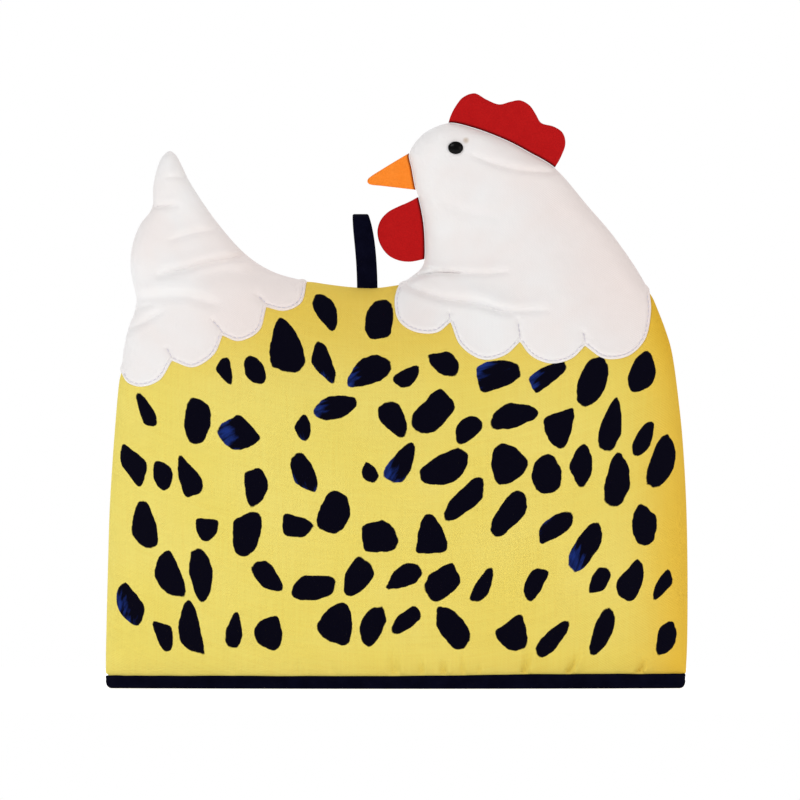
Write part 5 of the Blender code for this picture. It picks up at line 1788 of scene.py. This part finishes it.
class COSY_OT_add_felt_pieces(bpy.types.Operator):
    """Add the felt comb, wattle and beak"""

    bl_idname = "cosy.add_felt_pieces"
    bl_label = "Felt Pieces"
    bl_options = {"REGISTER", "UNDO"}

    def execute(self, context):
        sizes = context.scene.cosy_sizes
        add_felt("comb", COMB_EDGE, COMB_NECK_POINTS, red_felt(), sizes,
                 wave=0.5)
        add_felt("wattle", WATTLE_EDGE, WATTLE_NECK_POINTS, red_felt(), sizes,
                 wave=0.3)
        add_felt("beak", BEAK_EDGE, BEAK_NECK_POINTS, orange_felt(), sizes,
                 wave=0.0)
        return {"FINISHED"}


class COSY_OT_add_hem_binding(bpy.types.Operator):
    """Add the bias binding folded round the hem"""

    bl_idname = "cosy.add_hem_binding"
    bl_label = "Hem Binding"
    bl_options = {"REGISTER", "UNDO"}

    def execute(self, context):
        points, blocks, cloth, length = binding_mesh()
        piece = add_piece("hem_tape", points, blocks, [navy_tape()], ["hem_binding"],
                          {"cloth": cloth})
        return {"FINISHED"}


class COSY_OT_add_hanging_loop(bpy.types.Operator):
    """Add the tape loop on the back"""

    bl_idname = "cosy.add_hanging_loop"
    bl_label = "Hanging Loop"
    bl_options = {"REGISTER", "UNDO"}

    def execute(self, context):
        points, blocks, cloth, length = loop_mesh()
        piece = add_piece("loop_tape", points, blocks, [navy_tape()], ["hanging_loop"],
                          {"cloth": cloth})
        return {"FINISHED"}


class COSY_OT_add_eyes(bpy.types.Operator):
    """Add the domed eye on each side of the head"""

    bl_idname = "cosy.add_eyes"
    bl_label = "Eyes"
    bl_options = {"REGISTER", "UNDO"}

    def execute(self, context):
        sizes = context.scene.cosy_sizes
        for side in (FRONT, BACK):
            points, blocks = eye_mesh(side, sizes)
            word = side_word(side)
            add_piece(f"{word}_eye_dome", points, blocks, [eye_plastic()], [f"eye_{word}"],
                      split=60.0)
        return {"FINISHED"}


# ---- stage
FRAME_PIXELS = 800                 # across and down
MM_PER_PIXEL = 0.6036              # at the plane of the seam
MIDDLE_PIXEL_X = 396.6             # where x = 0 lies
FLOOR_PIXEL_Y = 688.2              # where z = 0 lies
LENS_MM, SENSOR_MM = 1600.0, 36.0   # a long lens from far off keeps the hem straight
FLOOR_HALF, CLIP_END = 1.6, 40.0   # metres
ROOM_LIGHT, SHEET_LIGHT = 0.38, 0.9   # strength of the surroundings, front and back
LAMP_AIM = (0.0, 0.0, 0.17)
# Name, place and size in metres, watts and tint of each lamp.
LAMPS = (
    ("key", (-1.5, -2.3, 2.3), 1.0, 37.5, (1.0, 0.995, 0.985)),
    ("fill", (1.9, -2.2, 0.7), 1.4, 14.0, (1.0, 0.90, 0.84)),
    ("back", (0.4, 1.4, 2.7), 1.6, 15.0, (1.0, 1.0, 1.0)),
)


def add_lamp(name, place, size, power, tint):
    """A square area lamp, turned to the middle of the cover."""
    data = bpy.data.lights.new(name, "AREA")
    data.shape = "SQUARE"
    data.size = size
    data.energy = power
    data.color = tint
    lamp = bpy.data.objects.new(name, data)
    lamp.location = place
    lamp.rotation_mode = "QUATERNION"
    lamp.rotation_quaternion = (Vector(LAMP_AIM) - Vector(place)).to_track_quat("-Z", "Y")
    bpy.context.scene.collection.objects.link(lamp)


def add_world():
    """Even white surroundings, which light a little less than they are seen.

    The white sheet behind the cover is nearer and lights its rim more than the room does.
    """
    world = bpy.data.worlds.new("studio")
    world.use_nodes = True
    tree = world.node_tree
    direction = add_node(tree, PLACE, output="Generated")
    backward = add_node(tree, SPLIT, {0: direction}, 1)
    strength = add_node(tree, RANGE, {"Value": backward, "From Min": -0.15, "From Max": 0.45,
                                      "To Min": ROOM_LIGHT, "To Max": SHEET_LIGHT})
    lit = add_node(tree, "ShaderNodeBackground", {"Color": (1, 1, 1, 1), "Strength": strength})
    seen = add_node(tree, "ShaderNodeBackground", {"Color": (1, 1, 1, 1), "Strength": 1.0})
    looked_at = add_node(tree, "ShaderNodeLightPath", output="Is Camera Ray")
    mixed = add_node(tree, "ShaderNodeMixShader", {0: looked_at, 1: lit, 2: seen})
    tree.links.new(mixed, tree.nodes["World Output"].inputs["Surface"])
    bpy.context.scene.world = world


def add_camera():
    """A level camera square to the front."""
    middle_x = (FRAME_PIXELS / 2 - MIDDLE_PIXEL_X) * MM_PER_PIXEL
    middle_z = (FLOOR_PIXEL_Y - FRAME_PIXELS / 2) * MM_PER_PIXEL
    distance_mm = LENS_MM / SENSOR_MM * FRAME_PIXELS * MM_PER_PIXEL
    data = bpy.data.cameras.new("camera")
    data.lens, data.sensor_width = LENS_MM, SENSOR_MM
    data.clip_end = CLIP_END
    camera = bpy.data.objects.new("camera", data)
    camera.location = (metres(middle_x), metres(-distance_mm), metres(middle_z))
    camera.rotation_euler = (math.pi / 2, 0, 0)
    bpy.context.scene.collection.objects.link(camera)
    bpy.context.scene.camera = camera


class COSY_OT_add_stage(bpy.types.Operator):
    """Add the floor, the soft lamps, the surroundings and the camera"""

    bl_idname = "cosy.add_stage"
    bl_label = "Stage"
    bl_options = {"REGISTER", "UNDO"}

    def execute(self, context):
        mesh = bpy.data.meshes.new("floor")
        half = FLOOR_HALF
        corners = [(-half, -half, 0), (half, -half, 0), (half, half, 0), (-half, half, 0)]
        mesh.from_pydata(corners, [], [(0, 1, 2, 3)])
        mesh.materials.append(pale_floor())
        floor = bpy.data.objects.new("floor", mesh)
        bpy.context.scene.collection.objects.link(floor)
        for lamp in LAMPS:
            add_lamp(*lamp)
        add_world()
        add_camera()
        bpy.context.scene.view_settings.view_transform = "Standard"
        return {"FINISHED"}


class COSY_PT_pieces(bpy.types.Panel):
    """Sidebar panel that lists the pieces and their sizes and colours"""

    bl_idname = "COSY_PT_pieces"
    bl_label = "Hen Tea Cosy"
    bl_space_type = "VIEW_3D"
    bl_region_type = "UI"
    bl_category = "Tea Cosy"

    def draw(self, context):
        layout = self.layout
        for operator in OPERATORS:
            layout.operator(operator.bl_idname, text=operator.bl_label)
        for group in (context.scene.cosy_sizes, context.scene.cosy_colours):
            box = layout.box()
            for name in group.__annotations__:
                box.prop(group, name)


OPERATORS = (
    COSY_OT_add_panels, COSY_OT_add_white_shapes, COSY_OT_add_edge_stitches,
    COSY_OT_add_felt_pieces, COSY_OT_add_hem_binding, COSY_OT_add_hanging_loop,
    COSY_OT_add_eyes, COSY_OT_add_stage,
)
CLASSES = (CosySizes, CosyColours, *OPERATORS, COSY_PT_pieces)


def register():
    for made in CLASSES:
        bpy.utils.register_class(made)
    bpy.types.Scene.cosy_sizes = bpy.props.PointerProperty(type=CosySizes)
    bpy.types.Scene.cosy_colours = bpy.props.PointerProperty(type=CosyColours)


def unregister():
    del bpy.types.Scene.cosy_colours
    del bpy.types.Scene.cosy_sizes
    for made in reversed(CLASSES):
        bpy.utils.unregister_class(made)


def main():
    """Make every piece and the stage."""
    register()
    for operator in OPERATORS:
        module, name = operator.bl_idname.split(".")
        getattr(getattr(bpy.ops, module), name)()


if __name__ == "__main__":
    main()
